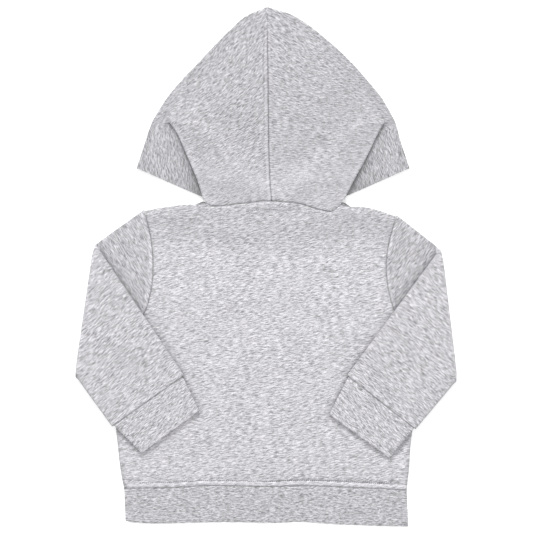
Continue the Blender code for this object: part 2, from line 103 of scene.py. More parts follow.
# %% The seams: x, height
ARMHOLE = {
    LEFT: ((-161.0, -91.0), (-137.0, -67.0), (-123.5, -45.0), (-117.0, -21.0), (-115.4, 4.0),
           (-118.0, 31.0), (-124.1, 56.4)),
    RIGHT: ((162.5, -91.0), (142.0, -66.0), (130.6, -43.0), (124.6, -20.0), (122.8, 2.0),
            (125.8, 26.0), (132.9, 50.9)),
}
BACK_NECK = {
    LEFT: ((5.6, 67.5), (-4.0, 67.3), (-33.0, 64.0), (-50.0, 62.0), (-57.0, 63.2), (-63.0, 67.0)),
    RIGHT: ((5.6, 67.5), (8.0, 67.3), (33.0, 64.8), (55.0, 58.7), (68.0, 57.2), (77.8, 65.9)),
}
SHOULDER = {
    LEFT: ((-67.5, 63.2), (-84.0, 62.7), (-108.0, 59.7), (-124.1, 56.4)),
    RIGHT: ((82.6, 60.3), (98.0, 60.4), (112.0, 57.8), (132.9, 50.9)),
}
HEM_SEAM = ((-144.0, -225.7), (-101.0, -225.1), (-53.0, -222.9), (4.0, -224.2), (35.0, -223.0),
            (87.0, -224.7), (142.8, -227.4))
HEM_EDGE = ((-142.6, -259.6), (-125.0, -261.6), (-100.0, -261.6), (-40.0, -260.3), (4.0, -261.2),
            (35.0, -260.0), (66.0, -262.2), (108.0, -263.9), (144.4, -264.8))
print("hem", HEM_EDGE[-1][0] - HEM_EDGE[0][0], "mm wide")

# %% The hood's hidden side and the folded sleeves
FRONT_NECK_DROP = 28.0  # the front neck is this deep
FRONT_NECK = {LEFT: (6.0, 42.0), RIGHT: (9.5, 42.0)}  # where each half ends at the front neck
FOREHEAD = 80.0  # height of the face opening's edge at the centre
CROWN = 250.0
PLEAT_SLANT = (-21.0, 26.0)  # degrees, which way the hidden layer runs at the neck and at the top
PLEAT_ROWS = (  # height share, how far it is folded, width of the hidden layer
    (0.0, 1.0, 75.0),
    (0.12, 1.0, 62.0),
    (0.28, 1.0, 46.0),
    (0.46, 1.0, 32.0),
    (0.64, 1.0, 20.0),
    (0.8, 1.0, 12.0),
    (0.92, 1.0, 7.0),
    (0.97, 0.6, 2.0),
    (1.0, 0.25, 1.0),
)
SLEEVE = {
    LEFT: {
        "fold_top": (-176.4, 21.4), "fold_low": (-195.8, -111.7),
        "wrist_top": (-85.4, -111.5), "wrist_low": (-155.4, -161.4),
        "cuff_top": (-86.4, -113.4), "cuff_low": (-152.4, -161.6),
        "cuff_end_top": (-69.9, -147.4), "cuff_end_low": (-125.4, -188.2),
    },
    RIGHT: {
        "fold_top": (180.0, 16.4), "fold_low": (195.8, -116.0),
        "wrist_top": (84.4, -111.5), "wrist_low": (151.0, -164.0),
        "cuff_top": (85.2, -113.6), "cuff_low": (148.0, -164.6),
        "cuff_end_top": (66.3, -151.2), "cuff_end_low": (124.7, -193.2),
    },
}
print("the pleats fade out over", len(PLEAT_ROWS), "rows")

# %% [markdown]
# ## Lines
#
# A paper pattern is drawn with curves through a few points, and cut at even steps. These helpers do the
# same: they draw a Catmull-Rom curve, walk along it, and move it sideways for a seam's gap.

# %% Curves and steps
def smooth_step(value):
    value = np.clip(value, 0.0, 1.0)
    return value * value * (3.0 - 2.0 * value)


def even(steps):
    return np.linspace(0.0, 1.0, steps + 1)


def of_side(row, side):
    return row[1] if side == LEFT else row[2]


def column(table, side):
    return [(of_side(row, side), row[0]) for row in table]


def shares_of(points):
    lengths = np.linalg.norm(np.diff(points, axis=0), axis=1)
    return np.concatenate([[0.0], np.cumsum(lengths)]) / lengths.sum()


def length_of(points):
    return np.linalg.norm(np.diff(np.asarray(points, float), axis=0), axis=1).sum()


def along(points, shares):
    points = np.asarray(points, float)
    known = shares_of(points)
    return np.stack([np.interp(shares, known, points[:, axis]) for axis in range(points.shape[1])], axis=1)


CURVE_STEPS = 12  # fine steps between two points of a table


def curved(points, fine=CURVE_STEPS):
    points = np.asarray(points, float)
    ends = [2 * points[0] - points[1], *points, 2 * points[-1] - points[-2]]
    share = (np.arange(fine) / fine).reshape((-1,) + (1,) * (points.ndim - 1))
    spans = []
    for a, b, c, d in zip(ends, ends[1:], ends[2:], ends[3:]):
        bend = 2 * a - 5 * b + 4 * c - d
        twist = 3 * b - a - 3 * c + d
        spans.append(0.5 * (2 * b + (c - a) * share + bend * share**2 + twist * share**3))
    return np.concatenate([*spans, points[-1:]])


print("a curve through", len(HEM_SEAM), "points has", len(curved(HEM_SEAM)))

# %% Seam gaps and the way out from a line
def moved_out(points, distance):
    points = np.asarray(points, float)
    runs = np.diff(points, axis=0)
    runs /= np.linalg.norm(runs, axis=1)[:, None]
    right = np.stack([runs[:, 1], -runs[:, 0]], axis=1)
    before = np.concatenate([right[:1], right])
    after = np.concatenate([right, right[-1:]])
    middle = before + after
    return points + distance * middle * 2.0 / (middle**2).sum(axis=1)[:, None]


def normals(points, side):
    runs = np.gradient(np.asarray(points, float), axis=0)
    runs /= np.linalg.norm(runs, axis=1)[:, None]
    return side * np.stack([runs[:, 1], -runs[:, 0]], axis=1)


def normals_at(points, shares, side):
    found = along(normals(along(points, even(100)), side), shares)
    return found / np.linalg.norm(found, axis=1)[:, None]


def centre_x(height):
    heights, xs = zip(*CENTRE_SEAM)
    return np.interp(height, heights, xs)


def lifted(points, heights):
    return np.column_stack([points, np.broadcast_to(heights, len(points))])


print("the centre seam is at x", round(float(centre_x(NECK_HEIGHT)), 1), "at the neck")


# %% [markdown]
# Seams need finer steps than the open cloth, because that is where the surface turns quickly. This
# helper packs a few steps close to one or both ends of a line and spreads the rest.

# %% Steps that are close together beside a seam
BESIDE_SEAM = (0.5, 1.1, 1.8, 2.6, 3.6, 5.0)


def seam_steps(length, steps, first=True, last=False):
    places = list(np.linspace(0.0, length, steps + 1))
    if first:
        places = [0.0, *BESIDE_SEAM] + [place for place in places if place > BESIDE_SEAM[-1] + 1.0]
    if last:
        ends = [length - place for place in (*BESIDE_SEAM[::-1], 0.0)]
        places = [place for place in places if place < ends[0] - 1.0] + ends
    return np.asarray(places) / length


print("steps beside a seam, mm:", BESIDE_SEAM)

# %% [markdown]
# ## From a grid to cloth
#
# On the real hoodie each piece is one layer of fleece. We add Blender's grid primitive with as many
# rows and columns as the piece needs, move its points to the middle of the cloth, and let Solidify
# give it a wall. A UV map named Grain holds each point's place on the flat cloth, turned so that its
# U axis runs along the knit's streaks. The marl then follows the cloth round every fold. A point
# attribute holds painted light: above zero it mixes in painted shade, as in a seam or beside a fold,
# and below zero a painted highlight, as along a ridge.

# %% Make one piece of cloth
def plain_piece(name, slot, *nodes):
    piece = bpy.context.object
    piece.name = name
    piece.data.name = name
    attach(piece, "root")
    if nodes:
        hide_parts(*nodes)
    return piece


def cloth(name, slot, grid, grain, painted_shading, look, round_tube=False):
    rows, across = grid.shape[:2]
    bpy.ops.object.select_all(action="DESELECT")
    bpy.ops.mesh.primitive_grid_add(x_subdivisions=across - 1, y_subdivisions=rows - 1, size=1.0)
    piece = plain_piece(name + "_cloth", slot, name)
    mesh = piece.data
    placed = grid + (0.0, TABLE_SHIFT, 0.0)
    mesh.vertices.foreach_set("co", (placed * MM).astype(np.float32).ravel())
    corners = np.empty(len(mesh.loops), np.int32)
    mesh.loops.foreach_get("vertex_index", corners)
    mesh.uv_layers[0].name = "Grain"
    flat = (grain * MM).reshape(-1, 2)[corners]
    mesh.uv_layers["Grain"].data.foreach_set("uv", flat.astype(np.float32).ravel())
    # painted shading: painted shade above zero, painted highlight below zero
    painted_shading_attribute = mesh.attributes.new("Painted shading", "FLOAT", "POINT")
    painted_shading_attribute.data.foreach_set("value", np.clip(painted_shading, -1.0, 1.0).astype(np.float32).ravel())
    if round_tube:
        bpy.ops.object.mode_set(mode="EDIT")
        bpy.ops.mesh.select_all(action="SELECT")
        bpy.ops.mesh.remove_doubles(threshold=1e-6)
        bpy.ops.object.mode_set(mode="OBJECT")
    wall = piece.modifiers.new("Wall", "SOLIDIFY")
    wall.thickness = WALL * MM
    wall.offset = 0.0
    bpy.ops.object.modifier_apply(modifier=wall.name)
    bpy.ops.object.shade_smooth_by_angle(angle=math.radians(50))
    piece.data.materials.append(look)
    heights = [vertex.co.z / MM for vertex in piece.data.vertices]
    print(name, "has", len(piece.data.polygons), "faces, from",
          round(min(heights), 2), "to", round(max(heights), 2), "mm")
    return piece


# %% [markdown]
# A seam shows as a narrow groove, because both edges roll down into it, and the seam allowance
# underneath lifts a soft ridge along one side. The roll is a function of the distance from the edge.

# %% Roll an edge into its seam
GROOVE_WIDTH = 0.9


def line_at(distance, width):
    return np.exp(-((distance / width) ** 2))


def rolled(distance, ridge, groove=0.55, ridge_at=2.4, ridge_width=1.4):
    return ridge * line_at(distance - ridge_at, ridge_width) - groove * line_at(distance, GROOVE_WIDTH)


# painted highlight: a pale band at a given distance from an edge, where a ridge catches the light
def painted_highlight_band(distance, middle, width, amount):
    return -amount * np.exp(-(np.abs((distance - middle) / width) ** 3))


def from_first(grid, axis):
    runs = np.linalg.norm(np.diff(grid[..., :2], axis=axis), axis=2)
    pad = [(0, 0), (0, 0)]
    pad[axis] = (1, 0)
    return np.pad(np.cumsum(runs, axis=axis), pad)


def from_last(grid, axis):
    return np.flip(from_first(np.flip(grid, axis), axis), axis)


def near(points, x, y, reach):
    return line_at(np.hypot(points[..., 0] - x, points[..., 1] - y), reach)


print("a seam's roll, mm:", [round(float(rolled(place, 0.6)), 2) for place in BESIDE_SEAM])


# %% [markdown]
# Cloth that lies loose is never quite flat. Each crease is a soft ridge or trough along a line, fading
# at both ends: x and height of its start and end, how wide it is, and how high (below zero, how deep).

# %% Lay soft creases into a grid
def creased(grid, creases):
    points = grid[..., :2]
    rise = np.zeros(grid.shape[:2])
    for x0, y0, x1, y1, width, height in creases:
        start = np.asarray((x0, y0))
        run = np.asarray((x1, y1)) - start
        share = ((points - start) @ run) / (run @ run)
        off = np.linalg.norm(points - start - np.clip(share, 0.0, 1.0)[..., None] * run, axis=2)
        fade = np.sin(math.pi * np.clip(share, 0.0, 1.0)) ** 0.7
        rise += height * fade * line_at(off, width)
    return rise


def slow_waves(grid, height, length, phase):
    x, y = grid[..., 0] / length, grid[..., 1] / length
    waves = np.sin(2.1 * x + 1.3 * y + phase) + np.sin(-1.2 * x + 2.6 * y + 2.0 * phase)
    return height * (waves + 0.7 * np.sin(3.7 * x + 0.6 * y + 3.1 * phase))


# %% [markdown]
# Where the folded sleeves and cuffs lie on the back, the cloth below stays flat, and painted shade darkens
# the cloth beside their edges. Under the cuffs' open ends a painted highlight eases the real shadow, with a
# thin painted dark line.

# %% Cloth below the folded sleeves, and painted shade beside them
def clear_of_sleeves(grid):
    clear = np.ones(grid.shape[:2])
    x, y = grid[..., 0], grid[..., 1]
    for side, corners in SLEEVE.items():
        top_x, top_y = corners["fold_top"]
        end_x, end_y = corners["cuff_end_top"]
        edge_x = top_x + (end_x - top_x) * np.clip((y - top_y) / (end_y - top_y), 0.0, 1.0)
        covered = smooth_step((side * (x - edge_x) + 9.0) / 5.0) * smooth_step((y + 204.0) / 8.0)
        clear *= 1.0 - covered * (y < top_y)
    return clear


SLEEVE_EDGES = (  # from corner, to corner, how far the edge stands outside that line, painted shade (below zero, painted highlight), painted dark line
    ("fold_top", "wrist_top", 2.0, 1.0, 0.3),
    ("cuff_top", "cuff_end_top", 2.0, 0.9, 0.3),
    ("cuff_end_top", "cuff_end_low", 0.2, -1.4, 0.6),
    ("cuff_end_low", "cuff_low", 2.0, 0.2, 0.2),
)


def painted_light_beside_sleeves(grid, amount, width):
    shade, painted_highlight = np.zeros(grid.shape[:2]), np.zeros(grid.shape[:2])
    for corners in SLEEVE.values():
        for first, last, outside, deep, thin in SLEEVE_EDGES:
            start, run = np.asarray(corners[first]), np.subtract(corners[last], corners[first])
            share = np.clip(((grid[..., :2] - start) @ run) / (run @ run), 0.0, 1.0)
            off = np.linalg.norm(grid[..., :2] - start - share[..., None] * run, axis=2) - outside
            off = np.clip(off, 0.0, None)
            soft = deep * amount * np.exp(-((off / width) ** 1.2))
            painted_highlight = np.minimum(painted_highlight, soft)
            shade = np.maximum(shade, np.maximum(soft, 0.0) + thin * line_at(off, 0.9))
    return shade + painted_highlight


# the edges beside which shade is painted on the cloth
print("edges that press the cloth beside them:", [edge[:2] for edge in SLEEVE_EDGES])

# %% [markdown]
# The knit's streaks run along each piece as it was cut, and turn with it when it is folded. This helper
# turns a flat point into the Grain map's U along the streaks and V across them, by an angle that may
# change with the height.

# %% The direction of the streaks
def grain_of(points, angle_low, angle_high, low=0.0, high=1.0, pivot=(0.0, 0.0)):
    share = np.clip((points[..., 1] - low) / (high - low), 0, 1)
    angle = np.radians(angle_low + (angle_high - angle_low) * share)
    x, y = points[..., 0] - pivot[0], points[..., 1] - pivot[1]
    return np.stack([x * np.cos(angle) + y * np.sin(angle), y * np.cos(angle) - x * np.sin(angle)], axis=-1)


print("a point 10 mm to the right, with streaks at 30 degrees:", grain_of(np.array([10.0, 0.0]), 30.0, 30.0))


# %% [markdown]
# ## Grey marl
#
# Marl yarn is spun from dark and pale fibres before it is knitted, so the colour comes in short soft
# streaks along the rows of the knit, with a fuzz of single fibres over them. Stretched noise gives
# streaks, and the same node group serves the fleece and the rib with different values.

# %% A node group for marl knit
MARL_STREAKS = (  # length and width over the streak's, seed, detail, share of the tone
    (1.0, 1.0, 3.1, 2.0, 2.5),
    (0.45, 0.6, 17.4, 2.0, 1.6),
    (0.16, 0.35, 41.0, 1.0, 1.0),
    (5.0, 10.0, 60.2, 1.0, 0.15),
)


def socket(group, name, kind, way="INPUT", value=None):
    made = group.interface.new_socket(name=name, in_out=way, socket_type=kind)
    if value is not None:
        made.default_value = value
    return made


def join(tree, source, target):
    if isinstance(source, (int, float, tuple)):
        target.default_value = source
    else:
        tree.links.new(source, target)


def set_values(node, values):
    for name, value in values.items():
        node.inputs[name].default_value = value


def maths(tree, operation, *values):
    node = tree.nodes.new("ShaderNodeMath")
    node.operation = operation
    for value, target in zip(values, node.inputs):
        join(tree, value, target)
    return node.outputs[0]


def noise_at(tree, vector, detail, distortion=0.0, scale=1.0):
    node = tree.nodes.new("ShaderNodeTexNoise")
    set_values(node, {"Scale": scale, "Detail": detail, "Roughness": 0.6, "Distortion": distortion})
    tree.links.new(vector, node.inputs["Vector"])
    return node.outputs["Fac"]


def mixed(tree, amount, first, second):
    node = tree.nodes.new("ShaderNodeMix")
    node.data_type = "RGBA"
    colour_inputs = (node.inputs["Factor"], node.inputs[6], node.inputs[7])
    for value, target in zip((amount, first, second), colour_inputs):
        join(tree, value, target)
    return node.outputs[2]


def ramped(tree, value, low, high):
    node = tree.nodes.new("ShaderNodeMapRange")
    set_values(node, {"From Min": low, "From Max": high})
    tree.links.new(value, node.inputs["Value"])
    return node.outputs["Result"]


# %% [markdown]
# The group first lets the rows waver a little, then adds the streaks of every size to one tone, from
# dark to pale, and last mixes in painted highlight and painted shade from the cloth's attribute.

# %% Build the marl group
WAVER_SCALE, WAVER = 70.0, 0.0036


def marl_group():
    group = bpy.data.node_groups.new("Marl knit", "ShaderNodeTree")
    socket(group, "Grain", "NodeSocketVector")
    socket(group, "Painted shading", "NodeSocketFloat", value=0.0)
    for name, value in (("Streak length", 0.007), ("Streak width", 0.0014), ("Strength", 1.0)):
        socket(group, name, "NodeSocketFloat", value=value)
    for name in ("Dark yarn", "Middle", "Pale yarn", "Painted shade colour"):
        socket(group, name, "NodeSocketColor")
    socket(group, "Colour", "NodeSocketColor", "OUTPUT")
    socket(group, "Height", "NodeSocketFloat", "OUTPUT")
    ins = group.nodes.new("NodeGroupInput").outputs
    outs = group.nodes.new("NodeGroupOutput").inputs
    parts = group.nodes.new("ShaderNodeSeparateXYZ")
    group.links.new(ins["Grain"], parts.inputs[0])
    waver = maths(group, "SUBTRACT", noise_at(group, ins["Grain"], 1.0, scale=WAVER_SCALE), 0.5)
    across = maths(group, "ADD", parts.outputs[1], maths(group, "MULTIPLY", waver, WAVER))
    tone = None
    for length_share, width_share, seed, detail, share in MARL_STREAKS:
        place = group.nodes.new("ShaderNodeCombineXYZ")
        length = maths(group, "MULTIPLY", ins["Streak length"], length_share)
        width = maths(group, "MULTIPLY", ins["Streak width"], width_share)
        join(group, maths(group, "DIVIDE", parts.outputs[0], length), place.inputs[0])
        join(group, maths(group, "DIVIDE", across, width), place.inputs[1])
        join(group, seed, place.inputs[2])
        streak = noise_at(group, place.outputs[0], detail, 0.3)
        off = maths(group, "MULTIPLY", maths(group, "SUBTRACT", streak, 0.5), share)
        tone = off if tone is None else maths(group, "ADD", tone, off)
    tone = maths(group, "ADD", maths(group, "MULTIPLY", tone, ins["Strength"]), 0.5)
    dark = mixed(group, ramped(group, tone, 0.0, 0.5), ins["Dark yarn"], ins["Middle"])
    colour = mixed(group, ramped(group, tone, 0.5, 1.0), dark, ins["Pale yarn"])
    # painted highlight where the attribute is below zero, painted shade where it is above zero
    painted_highlight = maths(group, "MAXIMUM", maths(group, "MULTIPLY", ins["Painted shading"], -1.0), 0.0)
    colour = mixed(group, painted_highlight, colour, ins["Pale yarn"])
    colour = mixed(group, maths(group, "MAXIMUM", ins["Painted shading"], 0.0), colour, ins["Painted shade colour"])
    group.links.new(colour, outs["Colour"])
    group.links.new(tone, outs["Height"])
    print("marl group has", len(group.nodes), "nodes")
    return group


MARL = marl_group()

# %% [markdown]
# Each material keeps its own Principled shader. Fleece is matt, with a faint sheen from the loose
# fibres at grazing angles. The rib is knitted from the same yarn, a little darker and closer.

# %% The materials
# the last colour is the painted shade, mixed in where the cloth's attribute is above zero
YARN_SHARES = {"Dark yarn": 0.42, "Middle": 1.0, "Pale yarn": 1.62, "Painted shade colour": 0.3}  # of the level
FLEECE_FEEL = {"Roughness": 0.92, "Specular IOR Level": 0.2, "Sheen Weight": 0.1, "Sheen Roughness": 0.6}


def tinted(level):
    return (1.008 * level, 0.992 * level, 1.04 * level, 1.0)


def new_material(name, feel):
    made = bpy.data.materials.new(name)
    made.use_nodes = True
    shader = made.node_tree.nodes["Principled BSDF"]
    set_values(shader, feel)
    return made, made.node_tree, shader


def marl_material(name, level, strength, length, width):
    made, tree, shader = new_material(name, FLEECE_FEEL)
    grain = tree.nodes.new("ShaderNodeUVMap")
    grain.uv_map = "Grain"
    painted_shading_attribute = tree.nodes.new("ShaderNodeAttribute")
    painted_shading_attribute.attribute_name = "Painted shading"
    marl = tree.nodes.new("ShaderNodeGroup")
    marl.node_tree = MARL
    set_values(marl, {"Streak length": length, "Streak width": width, "Strength": strength})
    set_values(marl, {yarn: tinted(level * share) for yarn, share in YARN_SHARES.items()})
    bumps = tree.nodes.new("ShaderNodeBump")
    set_values(bumps, {"Distance": 0.00025, "Strength": 0.6})
    tree.links.new(grain.outputs["UV"], marl.inputs["Grain"])
    tree.links.new(painted_shading_attribute.outputs["Fac"], marl.inputs["Painted shading"])
    tree.links.new(marl.outputs["Colour"], shader.inputs["Base Color"])
    tree.links.new(marl.outputs["Height"], bumps.inputs["Height"])
    tree.links.new(bumps.outputs["Normal"], shader.inputs["Normal"])
    return made


# name, level of the grey, strength of the streaks, their length and width in metres; the hood, body and
# sleeves are one fleece, and the lower levels of the hood and sleeves are painted shade
HOOD_FLEECE = marl_material("Hood fleece", 0.453, 0.93, 0.0057, 0.00096)
BODY_FLEECE = marl_material("Body fleece", 0.553, 0.88, 0.006, 0.001)
SLEEVE_FLEECE = marl_material("Sleeve fleece", 0.518, 1.0, 0.0066, 0.00088)
CUFF_RIB = marl_material("Cuff rib", 0.518, 1.0, 0.0054, 0.00095)
BAND_RIB = marl_material("Waistband rib", 0.481, 0.95, 0.005, 0.00098)


# %% [markdown]
# The thread is twisted from two plies, which at this size only shows as a fine pale and dark speckle.

# %% The threads
def thread(name, level):
    made, tree, shader = new_material(name, {"Roughness": 0.65})
    place = tree.nodes.new("ShaderNodeTexCoord")
    fibres = noise_at(tree, place.outputs["Object"], 2.0, scale=2500.0)
    twist = mixed(tree, ramped(tree, fibres, 0.35, 0.65), tinted(level * 0.7), tinted(level * 1.3))
    tree.links.new(twist, shader.inputs["Base Color"])
    return made


# the dark thread's grey is partly its own colour and partly painted shade of the dents the stitches pull
DARK_THREAD = thread("Dark thread", 0.1)
SOFT_THREAD = thread("Soft thread", 0.3)
print("materials:", [made.name for made in bpy.data.materials])

# %% [markdown]
# ## The hood
#
# The hood is two shaped halves, sewn together from the back of the neck, over the top, to the
# forehead. Laid flat, each half runs from the centre seam out to a pleat, back under itself, out again
# as the triangle that shows beside the pleat, and round the outline to the underside. Each row of the
# grid is that journey at one height, as in a pattern maker's fold diagram.

# %% Lines of the hood
HOOD_STEPS = {"back": 26, "hidden": 6, "shown": 14, "under": 18, "turn": 8}


def way_out(line, points, side):
    outs = normals(line, side)
    found = np.stack([np.interp(points[:, 1], line[:, 1], outs[:, axis]) for axis in range(2)], axis=1)
    return found / np.linalg.norm(found, axis=1)[:, None]


def hood_lines(side):
    side_line = curved(column(HOOD_SIDE, side))
    split = PLEAT_STEP * CURVE_STEPS
    shares, _, widths = np.asarray(PLEAT_ROWS).T
    fold = curved(column(HOOD_PLEAT, side))
    slant = np.radians(np.interp(shares, (0.0, 1.0), PLEAT_SLANT))
    towards_centre = np.column_stack([-side * np.cos(slant), np.sin(slant)])
    inner = along(fold, shares) + widths[:, None] * towards_centre
    inner[0] = FRONT_NECK[side]
    edge = side_line[: split + 1]
    return {
        "fold": (along(fold, shares), normals_at(fold, shares, side)),
        "inner": (inner, normals(inner, -side)),
        "edge": (along(edge, shares), way_out(side_line, along(edge, shares), side)),
        "crown": side_line[split:],
    }


print("steps across half a hood:", HOOD_STEPS)

# %% [markdown]
# How high each layer lies: the triangle beside the pleat rests on the table near the face edge and on
# the hood's underside further up, and the back climbs from there over the pleat.

# %% Heights of the hood's layers
def triangle_level(points, side):
    x, y = points[:, 0], points[:, 1]
    corner_y, corner_x = HOOD_SIDE[0][0], of_side(HOOD_SIDE[0], side)
    share = np.clip((x - centre_x(FOREHEAD)) / (corner_x - centre_x(FOREHEAD)), 0.0, 1.0)
    face_edge = FOREHEAD + (corner_y - FOREHEAD) * share
    return LEVELS[0] + PITCH * smooth_step((y - face_edge + 12.0) / 10.0)


def back_level(points, side, inner, drop):
    x, y = points[:, 0], points[:, 1]
    from_fold = side * (x - np.interp(y, inner[:, 1], inner[:, 0]))
    over_pleat = smooth_step((from_fold + 30.0) / 24.0)
    centre = LEVELS[1] + PITCH * (1.0 - smooth_step((y - NECK_HEIGHT) / 30.0))
    return centre + (triangle_level(points, side) + drop - centre) * over_pleat


print("the triangle's corner lies at", triangle_level(np.array([column(HOOD_SIDE, LEFT)[0]]), LEFT), "mm")

# %% [markdown]
# A row of the grid is the cloth's journey at one height. It follows straight runs, and turns round a
# half circle at each fold, so that no fold is sharper than the cloth allows.


# %% Rows of the hood
TURN_ANGLES = np.linspace(0.0, math.pi, HOOD_STEPS["turn"] + 1)[1:-1]
BACK_SHARES = seam_steps(100.0, HOOD_STEPS["back"])


def turn_points(place, outward, upper, lower):
    radius = (upper - lower) / 2
    flat = np.asarray(place) + np.sin(TURN_ANGLES)[:, None] * radius * np.asarray(outward)
    return lifted(flat, (upper + lower) / 2 + radius * np.cos(TURN_ANGLES))


def inside_folds(lines, index):
    outs = [lines[name][1][index] for name in ("fold", "inner", "edge")]
    places = [lines[name][0][index] - TURN * out for name, out in zip(("fold", "inner", "edge"), outs)]
    return places, outs


def front_neck_line(first, last):
    angle = np.linspace(0.0, math.pi / 2, HOOD_STEPS["hidden"] + 1)
    x = last[0] + (first[0] - last[0]) * np.cos(angle)
    y = first[1] + (last[1] - first[1]) * np.sin(angle)
    return np.column_stack([x, y])


print("steps from the seam to the fold:", len(BACK_SHARES))

# %% [markdown]
# Three kinds of row make the hood: fully pleated near the neck, then rows in which the pleat opens like
# a paper fold that is let go, and flat rows above it. All have the same number of points.

# %% Three kinds of row
FLAT_PLEAT = (0.87, 0.91)  # where a flat row keeps the pleat's points, from the seam to the outline


def pleated_row(side, lines, index, start, end, neck):
    (fold_in, inner_in, edge_in), (fold_out, inner_out, edge_out) = inside_folds(lines, index)
    back = along([start, fold_in], BACK_SHARES)
    hidden = along([fold_in, inner_in], even(HOOD_STEPS["hidden"]))
    if neck is not None:
        back[:-1] = along(neck, BACK_SHARES)[:-1]
        hidden = front_neck_line(fold_in, inner_in)
    shown = along([inner_in, edge_in], even(HOOD_STEPS["shown"]))
    under = along([edge_in, end], even(HOOD_STEPS["under"]))
    shown_z = triangle_level(shown, side)
    hidden_z = triangle_level(hidden, side) + PITCH
    back_z = back_level(back, side, lines["inner"][0], 2 * PITCH)
    back_z[-1] = hidden_z[0] + PITCH
    hidden_z[-1] = shown_z[0] + PITCH
    shown_z[-1] = LEVELS[1]
    return np.concatenate([
        lifted(back, back_z),
        turn_points(fold_in, fold_out, back_z[-1], hidden_z[0]),
        lifted(hidden, hidden_z),
        turn_points(inner_in, inner_out, hidden_z[-1], shown_z[0]),
        lifted(shown, shown_z),
        turn_points(edge_in, edge_out, LEVELS[1], LEVELS[0]),
        lifted(under, LEVELS[0]),
    ])


def pleat_profile(folded, width):
    angle = math.pi * folded
    bend = max(TURN * angle, 1.5)
    turns, flats = HOOD_STEPS["turn"], HOOD_STEPS["hidden"]
    runs = [bend / turns] * turns + [width / flats] * flats + [bend / turns] * turns
    turned = np.linspace(0.0, angle, turns + 1)
    middles = (turned[1:] + turned[:-1]) / 2
    headings = [*middles, *([angle] * flats), *middles[::-1]]
    out = np.concatenate([[0.0], np.cumsum(np.multiply(runs, np.cos(headings)))])
    down = np.concatenate([[0.0], np.cumsum(np.multiply(runs, np.sin(headings)))])
    return out, down


def fading_row(side, lines, index, start, end):
    (fold_in, _, edge_in), (fold_out, _, edge_out) = inside_folds(lines, index)
    out, down = pleat_profile(*PLEAT_ROWS[index][1:])
    back = along([start, fold_in], BACK_SHARES)
    pleat = fold_in + out[:, None] * fold_out
    shown = along([pleat[-1], edge_in], even(HOOD_STEPS["shown"]))
    under = along([edge_in, end], even(HOOD_STEPS["under"]))
    back_z = back_level(back, side, lines["inner"][0], down[-1])
    back_z[-1] = LEVELS[1] + down[-1]
    return np.concatenate([
        lifted(back, back_z),
        lifted(pleat[1:-1], LEVELS[1] + down[-1] - down[1:-1]),
        lifted(shown, LEVELS[1]),
        turn_points(edge_in, edge_out, LEVELS[1], LEVELS[0]),
        lifted(under, LEVELS[0]),
    ])


def flat_row(start, edge, edge_out, end, opened):
    edge_in = edge - TURN * edge_out
    pleat_steps = 2 * HOOD_STEPS["turn"] + HOOD_STEPS["hidden"]
    near_pleat = np.concatenate([
        BACK_SHARES * FLAT_PLEAT[0],
        np.linspace(*FLAT_PLEAT, pleat_steps + 1)[1:],
        np.linspace(FLAT_PLEAT[1], 1.0, HOOD_STEPS["shown"] + 1)[1:],
    ])
    opened_out = even(len(near_pleat) - 1)
    shares = near_pleat + (opened_out - near_pleat) * smooth_step(opened) * 0.5
    return np.concatenate([
        lifted(along([start, edge_in], shares), LEVELS[1]),
        turn_points(edge_in, edge_out, LEVELS[1], LEVELS[0]),
        lifted(along([edge_in, end], even(HOOD_STEPS["under"])), LEVELS[0]),
    ])


print("rows with the pleat folded flat:", sum(folded == 1.0 for _, folded, _ in PLEAT_ROWS))

# %% [markdown]
# The rows are joined into a grid, from the neck up to the crown.

# %% Rows of one half of the hood
CROWN_ROWS = 7


def seam_point(height, side):
    return np.asarray([centre_x(height) + side * GAP / 2, height])


def hood_rows(side):
    lines = hood_lines(side)
    top_height = HOOD_SIDE[PLEAT_STEP][0]
    neck = moved_out(along(curved(BACK_NECK[side]), even(24)), side * -GAP / 2)
    neck[0] = (centre_x(NECK_HEIGHT) + side * GAP / 2, neck[0][1])
    rows = []
    for index, (share, folded, _) in enumerate(PLEAT_ROWS):
        start = seam_point(neck[0][1] + (top_height - neck[0][1]) * share, side)
        end = seam_point(FOREHEAD + (top_height - FOREHEAD) * share, side)
        if folded == 1.0:
            rows.append(pleated_row(side, lines, index, start, end, neck if index == 0 else None))
        else:
            rows.append(fading_row(side, lines, index, start, end))
    crown = along(lines["crown"], even(CROWN_ROWS))
    crown_out = way_out(curved(column(HOOD_SIDE, side)), crown, side)
    crown_out[-1] = (0.0, 1.0)
    crown[-1] = seam_point(crown[-1][1], side)
    for share, edge, edge_out in zip(even(CROWN_ROWS)[1:], crown[1:], crown_out[1:]):
        start = seam_point(top_height + (CROWN - top_height) * share, side)
        rows.append(flat_row(start, edge, edge_out, start, share))
    return np.asarray(rows)


print("rows and points of each half:", hood_rows(LEFT).shape[:2])

# %% [markdown]
# More rows are drawn smoothly between them, closer together at the neck seam. Then the back rolls into
# the centre seam, where the seam allowance is pressed to the wearer's left, so the ridge is on that
# half. At the pleat's top end the cloth is smoothed, as it would ease itself there.

